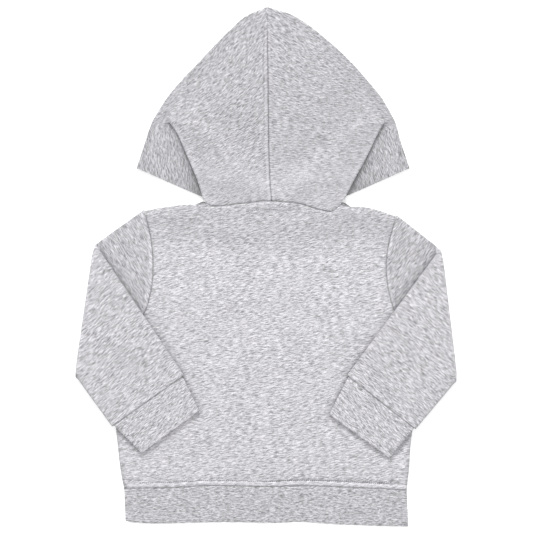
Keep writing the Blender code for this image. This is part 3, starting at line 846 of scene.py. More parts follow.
# %% Finer rows and soft places
SUB_ROWS = 6
NECK_ROWS = (0.0, 0.03, 0.07, 0.12, 0.2)  # closer rows at the neck, in rows
HOOD_CREASES = {
    LEFT: (
        (-100, 160, -40, 130, 9, 1.2), (-70, 200, -25, 165, 12, 0.9), (-90, 150, -70, 110, 6, 0.9),
        (-60, 75, -20, 100, 8, 1.0), (-30, 75, -5, 120, 9, 0.8), (-45, 225, -20, 205, 7, 0.6),
    ),
    RIGHT: (
        (110, 158, 55, 128, 9, 1.2), (92, 196, 35, 170, 12, 0.9), (103, 140, 85, 105, 6, 0.8),
        (70, 76, 30, 98, 8, 1.0), (40, 74, 14, 112, 9, 0.8), (60, 225, 25, 205, 8, 0.6),
    ),
}


def between_rows(rows, places):
    below = np.floor(places + 1e-9).astype(int)
    above = np.minimum(below + 1, len(rows) - 1)
    part = (places - below)[:, None, None]
    return rows[below] * (1 - part) + rows[above] * part


def soften(grid, weight, rounds):
    for _ in range(rounds):
        middle = (grid[:-2, 1:-1] + grid[2:, 1:-1] + grid[1:-1, :-2] + grid[1:-1, 2:]) / 4
        grid[1:-1, 1:-1] += weight[1:-1, 1:-1, None] * (middle - grid[1:-1, 1:-1])


def soften_rows(grid, weight, rounds):
    for _ in range(rounds):
        middle = (grid[:-2] + grid[2:]) / 2
        grid[1:-1] += weight[1:-1, :, None] * (middle - grid[1:-1])


def from_centre_seam(grid):
    return np.minimum(from_first(grid, 1), from_last(grid, 0))


def outside_of(table, points, side):
    heights, left, right = np.transpose(curved(table))
    line = np.interp(points[..., 1], heights, left if side == LEFT else right)
    return side * (points[..., 0] - line)


def hood_grid(side):
    fine_rows = np.arange(2, SUB_ROWS * (len(PLEAT_ROWS) + CROWN_ROWS - 1) + 1) / SUB_ROWS
    places = np.concatenate([NECK_ROWS, fine_rows])
    grid = between_rows(curved(hood_rows(side), fine=SUB_ROWS), places * SUB_ROWS)
    back = len(BACK_SHARES)
    top = grid[:, :back]
    centre = from_centre_seam(top)
    fade = smooth_step(centre / 12.0) * smooth_step(from_last(top, 1) / 10.0)
    rise = creased(top, HOOD_CREASES[side]) + slow_waves(top, 0.25, 34.0, 1.0 + side)
    top[..., 2] += fade * rise
    top[..., 2] += rolled(centre, 0.9 if side == LEFT else 0.2)
    top[..., 2] += rolled(from_first(top, 0), 0.2) * smooth_step(from_last(top, 1) / 3.0)
    outer = grid[:, : -(HOOD_STEPS["under"] + HOOD_STEPS["turn"])]
    end_x, end_y = of_side(HOOD_PLEAT[-1], side), HOOD_PLEAT[-1][0]
    above = smooth_step((places - 6.0) / 2.0)[:, None]
    mound = near(outer, end_x - side * 9.0, end_y, 18.0)
    outer[..., 2] += 2.6 * above * mound * smooth_step(-outside_of(HOOD_SIDE, outer, side) / 20.0)
    at_end = smooth_step((places - 6.2) / 0.8)[:, None]
    soften(outer, 0.5 * near(outer, end_x, end_y, 17.0) * at_end, 60)
    edge_x, edge_y = of_side(HOOD_SIDE[PLEAT_STEP], side), HOOD_SIDE[PLEAT_STEP][0]
    at_edge = line_at(places - 8.3, 0.8)[:, None]
    soften_rows(grid, 0.5 * near(grid, edge_x, edge_y, 14.0) * at_edge, 40)
    return grid


print("rows after the finer steps:", len(hood_grid(LEFT)))

# %% [markdown]
# Painted shade darkens the centre seam on both sides of its ridge, the neck seam, the hood's outline and
# the triangle where it slips under the pleat, most near the neck; painted highlights run along the seam's
# ridge and the pleat's edge, and the back is painted paler towards the neck. The streaks of the triangle
# stand steeper than the back's, because the pleat has turned that part of the cloth.

# %% Painted shading and streaks of the hood
HOOD_GRAIN = {LEFT: (24.0, 46.0), RIGHT: (14.0, -30.0)}  # degrees, at the neck and at the crown
TRIANGLE_GRAIN = {LEFT: 98.0, RIGHT: -72.0}
GRAIN_HEIGHTS = (75.0, 225.0)
GRAIN_PIVOT = (0.0, 150.0)


def hood_painted_shading(side, grid):
    back = len(BACK_SHARES)
    centre, neck = from_centre_seam(grid[:, :back]), from_first(grid[:, :back], 0)
    painted_shading = np.zeros(grid.shape[:2])
    below_top = 0.5 + 0.5 * smooth_step((250.0 - grid[:, :back, 1]) / 14.0)
    painted_shading[:, :back] = 0.95 * below_top * line_at(centre, 0.85) + line_at(neck, 0.75)
    painted_shading[:, :back] -= 0.17 * smooth_step((125.0 - grid[:, :back, 1]) / 40.0)
    painted_shading[:, :back] += painted_highlight_band(centre, 2.0, 1.3, 0.27 if side == LEFT else 0.08)
    painted_shading[:, :back] += (0.22 if side == LEFT else 0.06) * line_at(centre - 4.0, 0.9)
    rim_highlight_fade = smooth_step((149.0 - grid[:, : back + 4, 1]) / 6.0)
    painted_shading[:, : back + 4] += painted_highlight_band(from_last(grid[:, : back + 4], 1), 0.0, 3.6, 0.24) * rim_highlight_fade
    shown_from = back + 2 * HOOD_STEPS["turn"] + HOOD_STEPS["hidden"] - 1
    shown = grid[:, shown_from : shown_from + HOOD_STEPS["shown"]]
    # painted shade on the triangle beside the pleat's fold, deeper towards the neck
    fold_shade_depth = 0.14 + (0.62 if side == LEFT else 0.5) * smooth_step((146.0 - shown[..., 1]) / 80.0)
    inside = np.exp(-(np.clip(outside_of(HOOD_PLEAT, shown, side), 0.0, None) / 8.5) ** 1.3)
    below_end = smooth_step((149.0 - shown[..., 1]) / 8.0)
    painted_shading[:, shown_from : shown_from + HOOD_STEPS["shown"]] = fold_shade_depth * inside * below_end + 0.05
    # painted shade along the hood's outline
    return painted_shading + 0.22 * line_at(-outside_of(HOOD_SIDE, grid, side) - 0.5, 1.6)


def hood_grain(side, grid):
    upright = (*HOOD_GRAIN[side], *GRAIN_HEIGHTS, GRAIN_PIVOT)
    plan = grid[..., :2]
    grain = grain_of(plan, *upright)
    shown_from = len(BACK_SHARES) + HOOD_STEPS["turn"] - 1
    under_from = grid.shape[1] - HOOD_STEPS["under"] - HOOD_STEPS["turn"] // 2
    turned_part = plan[:, shown_from:under_from]
    pleated = 1.0 - smooth_step((turned_part[..., 1] - 137.0) / 13.0)
    pivot = ((of_side(HOOD_SIDE[PLEAT_STEP], side) + of_side(HOOD_PLEAT[-1], side)) / 2, 144.0)
    turned = grain_of(turned_part, TRIANGLE_GRAIN[side], TRIANGLE_GRAIN[side], pivot=pivot)
    at_pivot = grain_of(np.asarray(pivot)[None, None], *upright)
    part = grain[:, shown_from:under_from]
    part += (turned + at_pivot - part) * pleated[..., None]
    return grain


# %% [markdown]
# Both halves are made in the same way, each the mirror of the other but for its own lines.

# %% Both halves of the hood
for side in (LEFT, RIGHT):
    grid = hood_grid(side)
    grain, painted_shading = hood_grain(side, grid), hood_painted_shading(side, grid)
    half = cloth("hood_" + SIDE_NAMES[side], "fleece", grid, grain, painted_shading, HOOD_FLEECE)

# %% [markdown]
# ## Back and front
#
# The body is a back and a front, cut alike but for the neck, which is lower in front. A Coons patch
# stretches an even grid between the four edges of such a panel: the hem, the two sides with their
# armholes, and the top with its shoulders and neck. At the side and shoulder seams both panels turn
# in to meet each other.

# %% A panel between its edges
NECK_STEPS, SHOULDER_STEPS, ARM_STEPS, BODY_SIDE_STEPS = 24, 12, 26, 34


def patch(left, right, bottom, top):
    up = ((shares_of(left) + shares_of(right)) / 2)[:, None, None]
    over = ((shares_of(bottom) + shares_of(top)) / 2)[None, :, None]
    sides = (1 - over) * left[:, None] + over * right[:, None]
    ends = (1 - up) * bottom[None] + up * top[None]
    corners = (1 - up) * ((1 - over) * bottom[0] + over * bottom[-1])
    corners = corners + up * ((1 - over) * top[0] + over * top[-1])
    return sides + ends - corners


def armhole(side):
    return along(curved(ARMHOLE[side]), even(ARM_STEPS))


def body_side(side):
    seam = along(curved(column(SIDE_SEAM, side)), even(BODY_SIDE_STEPS))
    arm = moved_out(armhole(side), side * -GAP / 2)
    arm[[0, -1], 0] -= side * CORNER_GAP
    return np.concatenate([seam[:-1], arm])


def hem_columns():
    return along(curved(HEM_SEAM), even(2 * (NECK_STEPS + SHOULDER_STEPS)))


def near_neck(points, inside, fades):
    left_y, left_x, right_x = HOOD_PLEAT[0]
    middle, reach = (left_x + right_x) / 2, (right_x - left_x) / 2
    out = np.hypot((points[..., 0] - middle) / reach, (points[..., 1] - left_y) / FRONT_NECK_DROP)
    return 1.0 - smooth_step((out - inside) / fades)


print("the hem has", len(hem_columns()), "columns")

# %% [markdown]
# Close lines are added along every edge. At the sides and shoulders they carry the turn in which the
# back and the front meet; at the hem they carry the dent of the topstitching.

# %% Lines beside a panel's seams
HEM_STITCHES = (4.9, 7.1)  # distances of the two rows from the seam
HEM_LINES = (0.0, 0.4, 0.9, 1.5, 2.2, 3.0, 3.7, 4.1, 4.6)  # over the turn's radius
SEAM_TURN = (  # distance from the edge and rise, over the turn's radius
    (0.0, GAP / 2 / TURN),
    (0.0, 0.4),
    (0.12, 0.62),
    (0.35, 0.82),
    (0.65, 0.95),
    (1.0, 1.0),
    (1.5, 1.0),
    (2.1, 1.0),
    (2.9, 1.0),
)
ARM_FROM = BODY_SIDE_STEPS + len(HEM_LINES) - 1  # the first row of the armhole
BESIDE_NECK = SHOULDER_STEPS + len(SEAM_TURN) - 1  # the first column of the neck
NECK_COLUMNS = slice(BESIDE_NECK, -BESIDE_NECK)


def with_seam_lines(grid, at_first, turns):
    grid = grid if at_first else grid[:, ::-1]
    inward = grid[:, 1] - grid[:, 0]
    inward /= np.linalg.norm(inward, axis=1)[:, None]
    extra = [grid[:, 0] + TURN * share * inward for share in turns]
    grid = np.concatenate([np.stack(extra, axis=1), grid[:, 1:]], axis=1)
    return grid if at_first else grid[:, ::-1]


def panel_plan(necks):
    shoulders = {}
    for side in (LEFT, RIGHT):
        run = along(curved(SHOULDER[side]), even(SHOULDER_STEPS))
        run[-1] = body_side(side)[-1]
        shoulders[side] = run
    top = np.concatenate([
        shoulders[LEFT][::-1][:-1], necks[LEFT][::-1][:-1], necks[RIGHT], shoulders[RIGHT][1:],
    ])
    top[SHOULDER_STEPS] = (necks[LEFT][-1] + shoulders[LEFT][0]) / 2
    top[SHOULDER_STEPS + 2 * NECK_STEPS] = (necks[RIGHT][-1] + shoulders[RIGHT][0]) / 2
    left, right = body_side(LEFT), body_side(RIGHT)
    bottom = hem_columns() + (0.0, GAP / 2)
    left[0], right[0] = bottom[0], bottom[-1]
    plan = patch(left, right, bottom, top)
    turn = np.transpose(SEAM_TURN)[0]
    plan = with_seam_lines(with_seam_lines(plan, True, turn), False, turn)
    plan = with_seam_lines(plan.transpose(1, 0, 2), False, turn)
    return with_seam_lines(plan, True, np.asarray(HEM_LINES)).transpose(1, 0, 2)


def seam_drop(shape):
    drop = np.zeros(shape)
    for index, (_, rise) in enumerate(SEAM_TURN):
        drop[:ARM_FROM, [index, -1 - index]] = 1.0 - rise
    for index, (_, rise) in enumerate(SEAM_TURN):
        drop[-1 - index, :BESIDE_NECK] = 1.0 - rise
        drop[-1 - index, -BESIDE_NECK:] = 1.0 - rise
    corner = len(SEAM_TURN)
    drop[-corner:, :corner] *= 0.6
    drop[-corner:, -corner:] *= 0.6
    return drop


print("armhole from row", ARM_FROM, "and neck from column", BESIDE_NECK)

# %% [markdown]
# A panel is its plan, raised to its layer, lifted over the other layers at the neck and turned towards
# the other panel at its seams. Painted shade darkens its seams, the hem stitching's dent, its outline and
# its upper part, and a painted highlight lies on the ridge above the waistband.

# %% Grid and painted shading of a panel
def body_grid(necks, level, lift, seam_side, creases):
    plan = panel_plan(necks)
    grid = np.concatenate([plan, np.zeros(plan.shape[:2])[..., None]], axis=2)
    grid[..., 2] = level + PITCH * lift(plan) + seam_side * TURN * seam_drop(plan.shape[:2])
    edges = [from_first(grid, 1), from_last(grid, 1), from_last(grid, 0), from_first(grid, 0)]
    from_top, from_hem = edges[2:]
    if creases:
        inside = np.minimum.reduce([smooth_step(edge / 9.0) for edge in edges])
        rise = creased(grid, creases) + slow_waves(grid, 0.22, 40.0, 0.6)
        grid[..., 2] += inside * clear_of_sleeves(grid) * rise
        grid[:, NECK_COLUMNS, 2] += rolled(from_top[:, NECK_COLUMNS], 0.35)
        dent = 0.4 * line_at(from_hem - HEM_STITCHES[0], 0.8)
        grid[..., 2] += rolled(from_hem, 0.75, 0.45, 2.6, 1.9) - dent
    painted_shading = np.zeros(grid.shape[:2])
    arm_rows = slice(ARM_FROM, -len(SEAM_TURN))
    for edge in edges[:2]:
        painted_shading[arm_rows] += 0.45 * line_at(edge[arm_rows], 0.6)
    painted_shading[:, NECK_COLUMNS] += line_at(from_top[:, NECK_COLUMNS], 0.7)
    painted_shading += 0.8 * line_at(from_hem, 0.7) + painted_highlight_band(from_hem, 2.5, 1.8, 0.2)
    painted_shading += 0.2 * line_at(from_hem - HEM_STITCHES[0], 0.8)
    # painted shade, darker towards the top of the panel
    painted_shading += 0.19 * smooth_step((grid[..., 1] - 8.0) / 36.0) * smooth_step(from_top / 6.0)
    painted_shading += 0.25 * (line_at(edges[0], 1.7) + line_at(edges[1], 1.7) + line_at(from_top, 1.7))
    return grid, painted_shading


# %% [markdown]
# The back has shallow drag lines from the shoulders to the neck, where the hood's weight pulls, a few
# long soft waves across the middle, flat cloth under the folded sleeves and painted shade beside them.

# %% The back
BODY_HEIGHTS = (-220.0, 40.0)  # between which the streaks' angle changes
BACK_CREASES = (
    (-86, 57, -44, 53, 2.6, 1.3), (-74, 49, -38, 54, 2.4, -0.9), (-70, 44, -5, 30, 9, 0.8),
    (70, 57, 116, 48, 3.0, 1.3), (76, 49, 112, 42, 2.6, -0.9), (55, 50, 20, 38, 7, 0.7),
    (-60, 20, 70, 34, 12, 0.5), (-85, -40, 40, -8, 13, 0.6),
    (-70, -95, 60, -70, 14, 0.5), (-50, -150, 60, -138, 13, 0.6), (-120, -205, -60, -196, 7, 0.6),
    (-40, -200, 60, -190, 11, 0.5), (70, -206, 130, -196, 8, 0.6), (20, -30, 90, -60, 10, 0.5),
)


def back_neck(side):
    line = along(curved(BACK_NECK[side]), even(NECK_STEPS))
    line = moved_out(line, side * GAP / 2)
    line[0, 0] = centre_x(NECK_HEIGHT)
    return line


necks = {side: back_neck(side) for side in (LEFT, RIGHT)}
back_grid, painted_shading = body_grid(necks, LEVELS[1], lambda plan: near_neck(plan, 1.25, 0.5), -1, BACK_CREASES)
# painted shade beside the folded sleeves and cuffs, with a painted highlight under the cuffs' ends
painted_shading += painted_light_beside_sleeves(back_grid, 0.28, 3.2)
grain = grain_of(back_grid[..., :2], 9.0, 13.0, *BODY_HEIGHTS)
back = cloth("back", "fleece", back_grid, grain, painted_shading, BODY_FLEECE)

# %% [markdown]
# The front lies underneath, flat on the table. Its neck edge follows the hood's hidden edge.

# %% The front
def front_neck(side):
    lines = hood_lines(side)
    (fold_in, inner_in, _), _ = inside_folds(lines, 0)
    middle_x = (FRONT_NECK[LEFT][0] + FRONT_NECK[RIGHT][0]) / 2
    line = np.concatenate([front_neck_line(fold_in, inner_in), [(middle_x, inner_in[1])]])
    line = moved_out(along(line[::-1], even(NECK_STEPS)), side * GAP)
    line[0, 0] = middle_x
    return line


necks = {side: front_neck(side) for side in (LEFT, RIGHT)}
grid, painted_shading = body_grid(necks, LEVELS[0], lambda plan: near_neck(plan, 1.0, 0.3), 1, None)
grain = grain_of(grid[..., :2], -9.0, -12.0, *BODY_HEIGHTS)
front = cloth("front", "fleece", grid, grain, painted_shading, BODY_FLEECE)

# %% [markdown]
# ## Sleeves, cuffs and waistband
#
# All of these are tubes pressed flat. A ring runs out along the lower wall, turns, and comes back along
# the upper one. The sleeve's rings fan from the armhole to the fold, roll over the fold's axis, and fan
# again to the wrist, which keeps the fold crisp with few rings.

# %% Rings of a flattened tube
TUBE_STEPS, TUBE_TURN_STEPS = 26, 8
TUBE_TURN = np.linspace(0.0, math.pi, TUBE_TURN_STEPS + 1)[1:-1]
UPPER_WALL = TURN * 0.9  # points further than this from the tube's middle are on a flat wall


def loop_places(reach, steps):
    out, bulge = even(steps) * reach, TURN * np.sin(TUBE_TURN)
    return np.concatenate([out, reach + bulge, out[::-1], -bulge, out[:1]])


def loop_heights(steps):
    flat, climb = np.full(steps + 1, TURN), TURN * np.cos(TUBE_TURN)
    return np.concatenate([-flat, -climb, flat, climb, -flat[:1]])


def ring_points(line, places):
    total = length_of(line)
    inside = along(line, np.clip(places / total, 0.0, 1.0))
    first_way = (line[0] - line[1]) / np.linalg.norm(line[0] - line[1])
    last_way = (line[-1] - line[-2]) / np.linalg.norm(line[-1] - line[-2])
    before = np.clip(-places, 0.0, None)[:, None] * first_way
    after = np.clip(places - total, 0.0, None)[:, None] * last_way
    return inside + before + after


def rings_between(first, last, shares, middle, way_up):
    heights = middle + way_up * loop_heights(len(first) - 1)
    rings = []
    for share in shares:
        line = first + (last - first) * share
        rings.append(lifted(ring_points(line, loop_places(length_of(line), len(line) - 1)), heights))
    return rings


print("points round a sleeve:", len(loop_heights(TUBE_STEPS)))

# %% [markdown]
# At the fold the rings turn over the fold's axis. The fold's top corner leans, so that the cap's upper
# edge runs straight on to the corner and the forearm's edge starts from it.

# %% Grid of a sleeve
CAP_SHARES = seam_steps(60.0, 16)[:-1]
FOREARM_SHARES = seam_steps(110.0, 34, False, True)[1:]
FOLD_RINGS = 12
FOLD_RADIUS = 2 * PITCH - TURN - PITCH / 2
TOP_REACH = 14.0  # the fold's top corner leans over this length
SLEEVE_CREASES = {
    LEFT: (
        (-165, -5, -120, -75, 8, 0.8), (-185, -60, -110, -100, 9, 0.7), (-190, -100, -150, -145, 7, 0.7),
        (-176, 5, -190, -90, 5, 0.6), (-150, -120, -105, -128, 7, 0.5),
    ),
    RIGHT: (
        (168, -5, 122, -70, 8, 0.8), (188, -60, 112, -98, 9, 0.7), (192, -100, 150, -148, 7, 0.7),
        (180, 0, 191, -90, 5, 0.6), (150, -125, 104, -130, 7, 0.5),
    ),
}


def sleeve_grids(side):
    corners = {name: np.asarray(place) for name, place in SLEEVE[side].items()}
    seam = along(moved_out(armhole(side), side * GAP / 2)[::-1], even(TUBE_STEPS))
    fold_line = along([corners["fold_top"], corners["fold_low"]], even(TUBE_STEPS))
    wrist = along([corners["wrist_top"], corners["wrist_low"]], even(TUBE_STEPS))
    down = fold_line[-1] - fold_line[0]
    down /= np.linalg.norm(down)
    outward = np.asarray([-down[1], down[0]])
    outward *= side * np.sign(outward[0])
    axis = fold_line - (FOLD_RADIUS + TURN + WALL / 2) * outward
    into_cap, into_arm = seam[0] - fold_line[0], wrist[0] - fold_line[0]
    cap_lean = FOLD_RADIUS * (into_cap @ down) / -(into_cap @ outward)
    arm_lean = FOLD_RADIUS * (into_arm @ down) / -(into_arm @ outward)
    near_top = line_at(np.linalg.norm(axis - axis[0], axis=1), TOP_REACH)[:, None] * down
    cap_axis, arm_axis = axis + cap_lean * near_top, axis + arm_lean * near_top
    low, high = (LEVELS[0] + LEVELS[1]) / 2, (LEVELS[2] + LEVELS[3]) / 2
    rings = rings_between(seam, cap_axis, CAP_SHARES, low, 1.0)
    flats = [ring[:, :2] for ring in rings]
    places = loop_places(length_of(axis), TUBE_STEPS)
    on_axis = ring_points(axis, places)
    at_top = line_at(np.clip(places, 0.0, None), TOP_REACH)[:, None] * down
    radius = FOLD_RADIUS - loop_heights(TUBE_STEPS)
    for angle in np.linspace(0.0, math.pi, FOLD_RINGS + 1):
        lean = (1.0 - np.sin(angle)) * (cap_lean if angle < math.pi / 2 else arm_lean)
        flat = on_axis + np.sin(angle) * radius[:, None] * outward + lean * at_top
        rings.append(lifted(flat, (low + high) / 2 - radius * np.cos(angle)))
        flats.append(on_axis + angle * radius[:, None] * outward)
    for ring in rings_between(arm_axis, wrist, FOREARM_SHARES, high, -1.0):
        rings.append(ring)
        reach = (ring[:, :2] - axis[0]) @ outward
        flats.append(ring[:, :2] + (math.pi * radius[:, None] - 2 * reach[:, None]) * outward)
    return np.asarray(rings), np.asarray(flats)


print("rings of a sleeve:", len(CAP_SHARES), "+", FOLD_RINGS + 1, "+", len(FOREARM_SHARES))

# %% [markdown]
# A thick fold has no sharp corners, so the points near the fold's two ends are averaged with their
# neighbours a few times. The tube is wrapped round by one column first, to smooth across its join.

# %% Soft corners of the fold
CORNER_REACH, CORNER_ROUNDS = 6.0, 24


def with_soft_corners(grid, side):
    wrapped = np.concatenate([grid[:, -2:-1], grid, grid[:, 1:2]], axis=1)
    low, top = (near(wrapped, *SLEEVE[side][name], CORNER_REACH) for name in ("fold_low", "fold_top"))
    near_corner = np.maximum(low, top)
    for _ in range(CORNER_ROUNDS):
        soften(wrapped, 0.5 * near_corner, 1)
        wrapped[:, 0], wrapped[:, -1] = wrapped[:, -3], wrapped[:, 2]
    grid = wrapped[:, 1:-1]
    grid[:, -1] = grid[:, 0]
    return grid


# %% Both sleeves
SLEEVE_GRAIN = {LEFT: 124.0, RIGHT: 52.0}
heights = loop_heights(TUBE_STEPS)
cap = len(CAP_SHARES)
after_fold = cap + FOLD_RINGS // 2
for side in (LEFT, RIGHT):
    grid, flats = sleeve_grids(side)
    upper = heights > UPPER_WALL
    from_seam, from_wrist = from_first(grid, 0), from_last(grid, 0)
    grid[:cap, upper, 2] += rolled(from_seam[:cap, upper], 0.6, 0.3, 2.2, 1.3)
    grid = with_soft_corners(grid, side)
    folded = np.zeros(grid.shape[:2], bool)
    folded[after_fold:] = heights < -UPPER_WALL
    rise = creased(grid, SLEEVE_CREASES[side]) + slow_waves(grid, 0.2, 30.0, 2.0 + side)
    calm = smooth_step(from_wrist / 8.0) * (np.arange(len(grid)) > after_fold)[:, None]
    grid[..., 2] += folded * (calm * rise + rolled(from_wrist, 0.5))
    grain = grain_of(flats, SLEEVE_GRAIN[side], SLEEVE_GRAIN[side])
    # painted shade in the armhole and wrist seams, on the tube's rounded edges, over the caps and beside the
    # folded edge; painted highlights beside the seams
    painted_shading = 0.7 * line_at(from_seam, 0.6) + 0.95 * line_at(from_wrist, 0.7)
    painted_shading += 0.15 * (np.abs(heights) < TURN * 0.95)
    painted_shading += painted_highlight_band(from_seam, 2.0, 1.4, 0.2) + painted_highlight_band(from_wrist, 2.0, 1.3, 0.12)
    painted_shading[:cap] += 0.12 + painted_light_beside_sleeves(grid[:cap], 0.42, 5.0) * (heights > -TURN * 0.5)
    piece = cloth("sleeve_" + SIDE_NAMES[side], "fleece", grid, grain, painted_shading, SLEEVE_FLEECE, round_tube=True)

# %% [markdown]
# The cuffs and the waistband are doubled rib. Each starts a small gap beyond its seam, rolls down into
# it, and rolls down again at the fold of its open end.

# %% Cuffs
CUFF_GRAIN = {LEFT: 40.0, RIGHT: -41.0}
END_ROLL = 0.5


def rolled_ends(grid, upper, end_width):
    grid[:, upper, 2] += rolled(from_first(grid, 0), 0.0)[:, upper]
    grid[:, upper, 2] -= END_ROLL * line_at(from_last(grid, 0)[:, upper], end_width)


def cuff_grid(side):
    corners = {name: np.asarray(place) for name, place in SLEEVE[side].items()}
    wrist = corners["wrist_top"]
    run = (corners["wrist_low"] - wrist) / np.linalg.norm(corners["wrist_low"] - wrist)
    onward = np.asarray([-run[1], run[0]])
    onward *= np.sign((corners["cuff_end_top"] - wrist) @ onward)
    ends = [wrist + run * ((corners[name] - wrist) @ run) + onward * GAP for name in ("cuff_top", "cuff_low")]
    seam = along(ends, even(TUBE_STEPS))
    end = along([corners["cuff_end_top"], corners["cuff_end_low"]], even(TUBE_STEPS))
    shares = seam_steps(38.0, 9, True, True)
    return np.asarray(rings_between(seam, end, shares, (LEVELS[2] + LEVELS[3]) / 2, -1.0))


for side in (LEFT, RIGHT):
    grid = cuff_grid(side)
    rolled_ends(grid, loop_heights(TUBE_STEPS) < -UPPER_WALL, 1.0)
    grain = grain_of(grid[..., :2], CUFF_GRAIN[side], CUFF_GRAIN[side])
    # painted shade in the seam and a painted highlight by the open end's fold
    painted_shading = 0.95 * line_at(from_first(grid, 0), 0.7) + painted_highlight_band(from_last(grid, 0), 1.0, 1.3, 0.18)
    piece = cloth("cuff_" + SIDE_NAMES[side], "rib", grid, grain, painted_shading, CUFF_RIB, round_tube=True)

# %% Waistband
def band_grid():
    seam = hem_columns() - (0.0, GAP / 2)
    edge = along(curved(HEM_EDGE), shares_of(seam))
    for line in (seam, edge):
        line[0] += (TURN, 0.0)
        line[-1] -= (TURN, 0.0)
    shares = seam_steps(38.0, 10, True, True)
    return np.asarray(rings_between(seam, edge, shares, (LEVELS[0] + LEVELS[1]) / 2, 1.0))


BAND_CREASES = (
    (-110, -232, -60, -250, 7, 0.5), (-30, -246, 30, -236, 8, 0.5), (70, -238, 120, -252, 8, 0.5),
    (90, -232, 60, -246, 5, 0.4), (-90, -256, -20, -252, 4, 0.4),
)
grid = band_grid()
upper = loop_heights(len(hem_columns()) - 1) > UPPER_WALL
rolled_ends(grid, upper, 1.2)
grid[:, upper, 2] += (creased(grid, BAND_CREASES) * smooth_step(from_last(grid, 0) / 6.0))[:, upper]
grain = grain_of(grid[..., :2], 2.0, 2.0)
# painted shade in the seam
painted_shading = 0.8 * line_at(from_first(grid, 0), 0.7)
band = cloth("waistband", "rib", grid, grain, painted_shading, BAND_RIB, round_tube=True)

# %% [markdown]
# ## Topstitching
#
# The seam allowances of the waistband and the neck are held down by rows of topstitching, which pull
# small dents into the fleece. One stitch is modelled from a sphere drawn out to a grain of rice, and
# its copies are set along each row, following the surface.

# %% Rows of stitches
STITCH_SIZE, STITCH_PITCH = (1.1, 0.9, 0.5), 1.95
STITCH_LIFT, STITCH_SWAY = 0.05, 0.12


def line_beside(grid, edge_distance, distance, columns):
    spots = []
    for column_at in columns:
        known = edge_distance[:, column_at]
        order = np.argsort(known)
        spots.append([np.interp(distance, known[order], grid[order, column_at, axis]) for axis in range(3)])
    return np.asarray(spots)


def stitch_row(name, line, look):
    bpy.ops.object.select_all(action="DESELECT")
    bpy.ops.mesh.primitive_uv_sphere_add(segments=8, ring_count=6, radius=0.5)
    model = bpy.context.object
    points = np.array([vertex.co for vertex in model.data.vertices])
    order = np.lexsort(np.round(points, 4).T)  # a new sphere's own order isn't the same in every run
    shape = points[order][:, [2, 0, 1]] * STITCH_SIZE
    rank = np.argsort(order)
    faces = sorted((rank[list(polygon.vertices)].tolist() for polygon in model.data.polygons), key=sorted)
    places = along(line, np.arange(0.5, length_of(line) / STITCH_PITCH) * STITCH_PITCH / length_of(line))
    runs = np.gradient(places, axis=0)
    corners, sides = [], []
    for index, (place, run) in enumerate(zip(places, runs)):
        ahead = run / np.linalg.norm(run)
        aside = np.asarray([-ahead[1], ahead[0], 0.0]) / np.hypot(ahead[0], ahead[1])
        up = np.cross(ahead, aside)
        centre = place + up * (WALL / 2 + STITCH_LIFT) + aside * STITCH_SWAY * math.sin(2.4 * index)
        corners.append(centre + shape @ np.stack([ahead, aside, up]))
        sides += [tuple(corner + index * len(shape) for corner in face) for face in faces]
    placed = (np.concatenate(corners) + (0.0, TABLE_SHIFT, 0.0)) * MM
    model.data.clear_geometry()
    model.data.from_pydata(placed.tolist(), [], sides)
    piece = plain_piece(name, "fleece")
    piece.data.polygons.foreach_set("use_smooth", [True] * len(piece.data.polygons))
    piece.data.materials.append(look)
    print(name, "has", len(places), "stitches")


# %% [markdown]
# The lower row runs all along the waistband seam, the upper one shows on the wearer's right half, and a
# short row shows below the middle of the neck.

# %% The three rows
NECK_ROW = (-22.0, 26.0)  # from x to x
NECK_STITCHES = 8.4  # distance from the neck seam
from_hem, from_neck = from_first(back_grid, 0), from_last(back_grid, 0)
middle_columns = range(len(SEAM_TURN) + 3, back_grid.shape[1] - len(SEAM_TURN) - 3)
right_columns = [at for at in middle_columns if back_grid[0, at, 0] > 2.0]
neck_columns = [
    at for at in middle_columns
    if NECK_ROW[0] < back_grid[-1, at, 0] < NECK_ROW[1] and back_grid[-1, at, 1] > 55.0
]
lower = line_beside(back_grid, from_hem, HEM_STITCHES[0], middle_columns)
stitch_row("hem_stitches_lower", lower, DARK_THREAD)
upper = line_beside(back_grid, from_hem, HEM_STITCHES[1], right_columns)
stitch_row("hem_stitches_upper", upper, SOFT_THREAD)
below_neck = line_beside(back_grid, from_neck, NECK_STITCHES, neck_columns)
stitch_row("neck_stitches", below_neck, SOFT_THREAD)

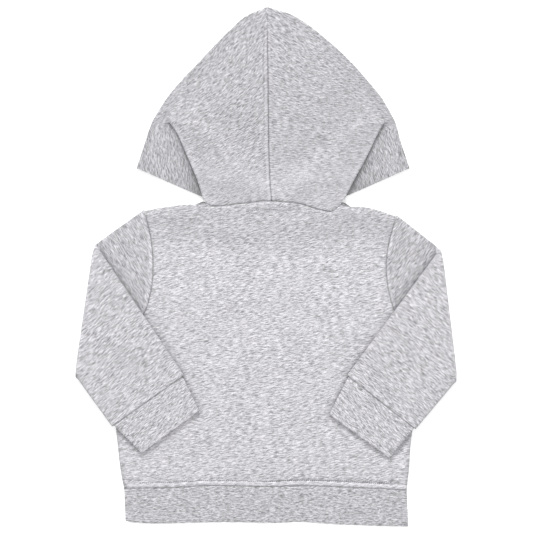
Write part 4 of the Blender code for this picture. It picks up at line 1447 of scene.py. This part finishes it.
# %% [markdown]
# ## The table, the light and the camera
#
# A white table under a large soft light from above the hood's side, with plain light all round, shows
# the folds by gentle shade only. The camera looks straight down from far away, so that nothing leans.

# %% Table and lights
TABLE_LEVEL = -0.0002
PAPER = {"Base Color": (0.95, 0.95, 0.95, 1.0), "Roughness": 0.9, "Specular IOR Level": 0.1,
         "Emission Color": (1.0, 1.0, 1.0, 1.0), "Emission Strength": 0.35}
LIGHT_PLACE, LIGHT_SIZE, LIGHT_POWER = (-0.3, 2.4, 1.9), 1.0, 60.0
ROOM_LIGHT = 0.83

bpy.ops.object.select_all(action="DESELECT")
bpy.ops.mesh.primitive_plane_add(size=6.0, location=(0.0, 0.0, TABLE_LEVEL))
table = bpy.context.object
table.name = "table"
table.data.materials.append(new_material("White table", PAPER)[0])

bpy.ops.object.light_add(type="AREA", location=LIGHT_PLACE)
light = bpy.context.object
light.name = "Window light"
light.data.shape = "DISK"
light.data.size = LIGHT_SIZE
light.data.energy = LIGHT_POWER
x, y, z = np.negative(LIGHT_PLACE)
light.rotation_euler = (math.atan2(math.hypot(x, y), -z), 0.0, math.atan2(x, -y) + math.pi)

world = bpy.data.worlds.new("Plain room")
bpy.context.scene.world = world
world.use_nodes = True
set_values(world.node_tree.nodes["Background"], {"Color": (1.0, 1.0, 1.0, 1.0), "Strength": ROOM_LIGHT})
bpy.context.scene.view_settings.view_transform = "Standard"
print("light", round(math.dist(LIGHT_PLACE, (0.0, 0.0, 0.0)), 2), "m away")

# %% Camera
VIEW_WIDTH = 0.5437
VIEW_LEVEL = 0.006  # the view is this wide at the height of the back
CAMERA_PLACE = (0.0005, 0.0003, 3.0)
SENSOR_WIDTH = 36.0
bpy.ops.object.camera_add(location=CAMERA_PLACE, rotation=(0.0, 0.0, 0.0))
camera = bpy.context.object
camera.data.sensor_width = SENSOR_WIDTH
camera.data.lens = SENSOR_WIDTH * (CAMERA_PLACE[2] - VIEW_LEVEL) / VIEW_WIDTH
bpy.context.scene.camera = camera
print("lens", round(camera.data.lens), "mm")
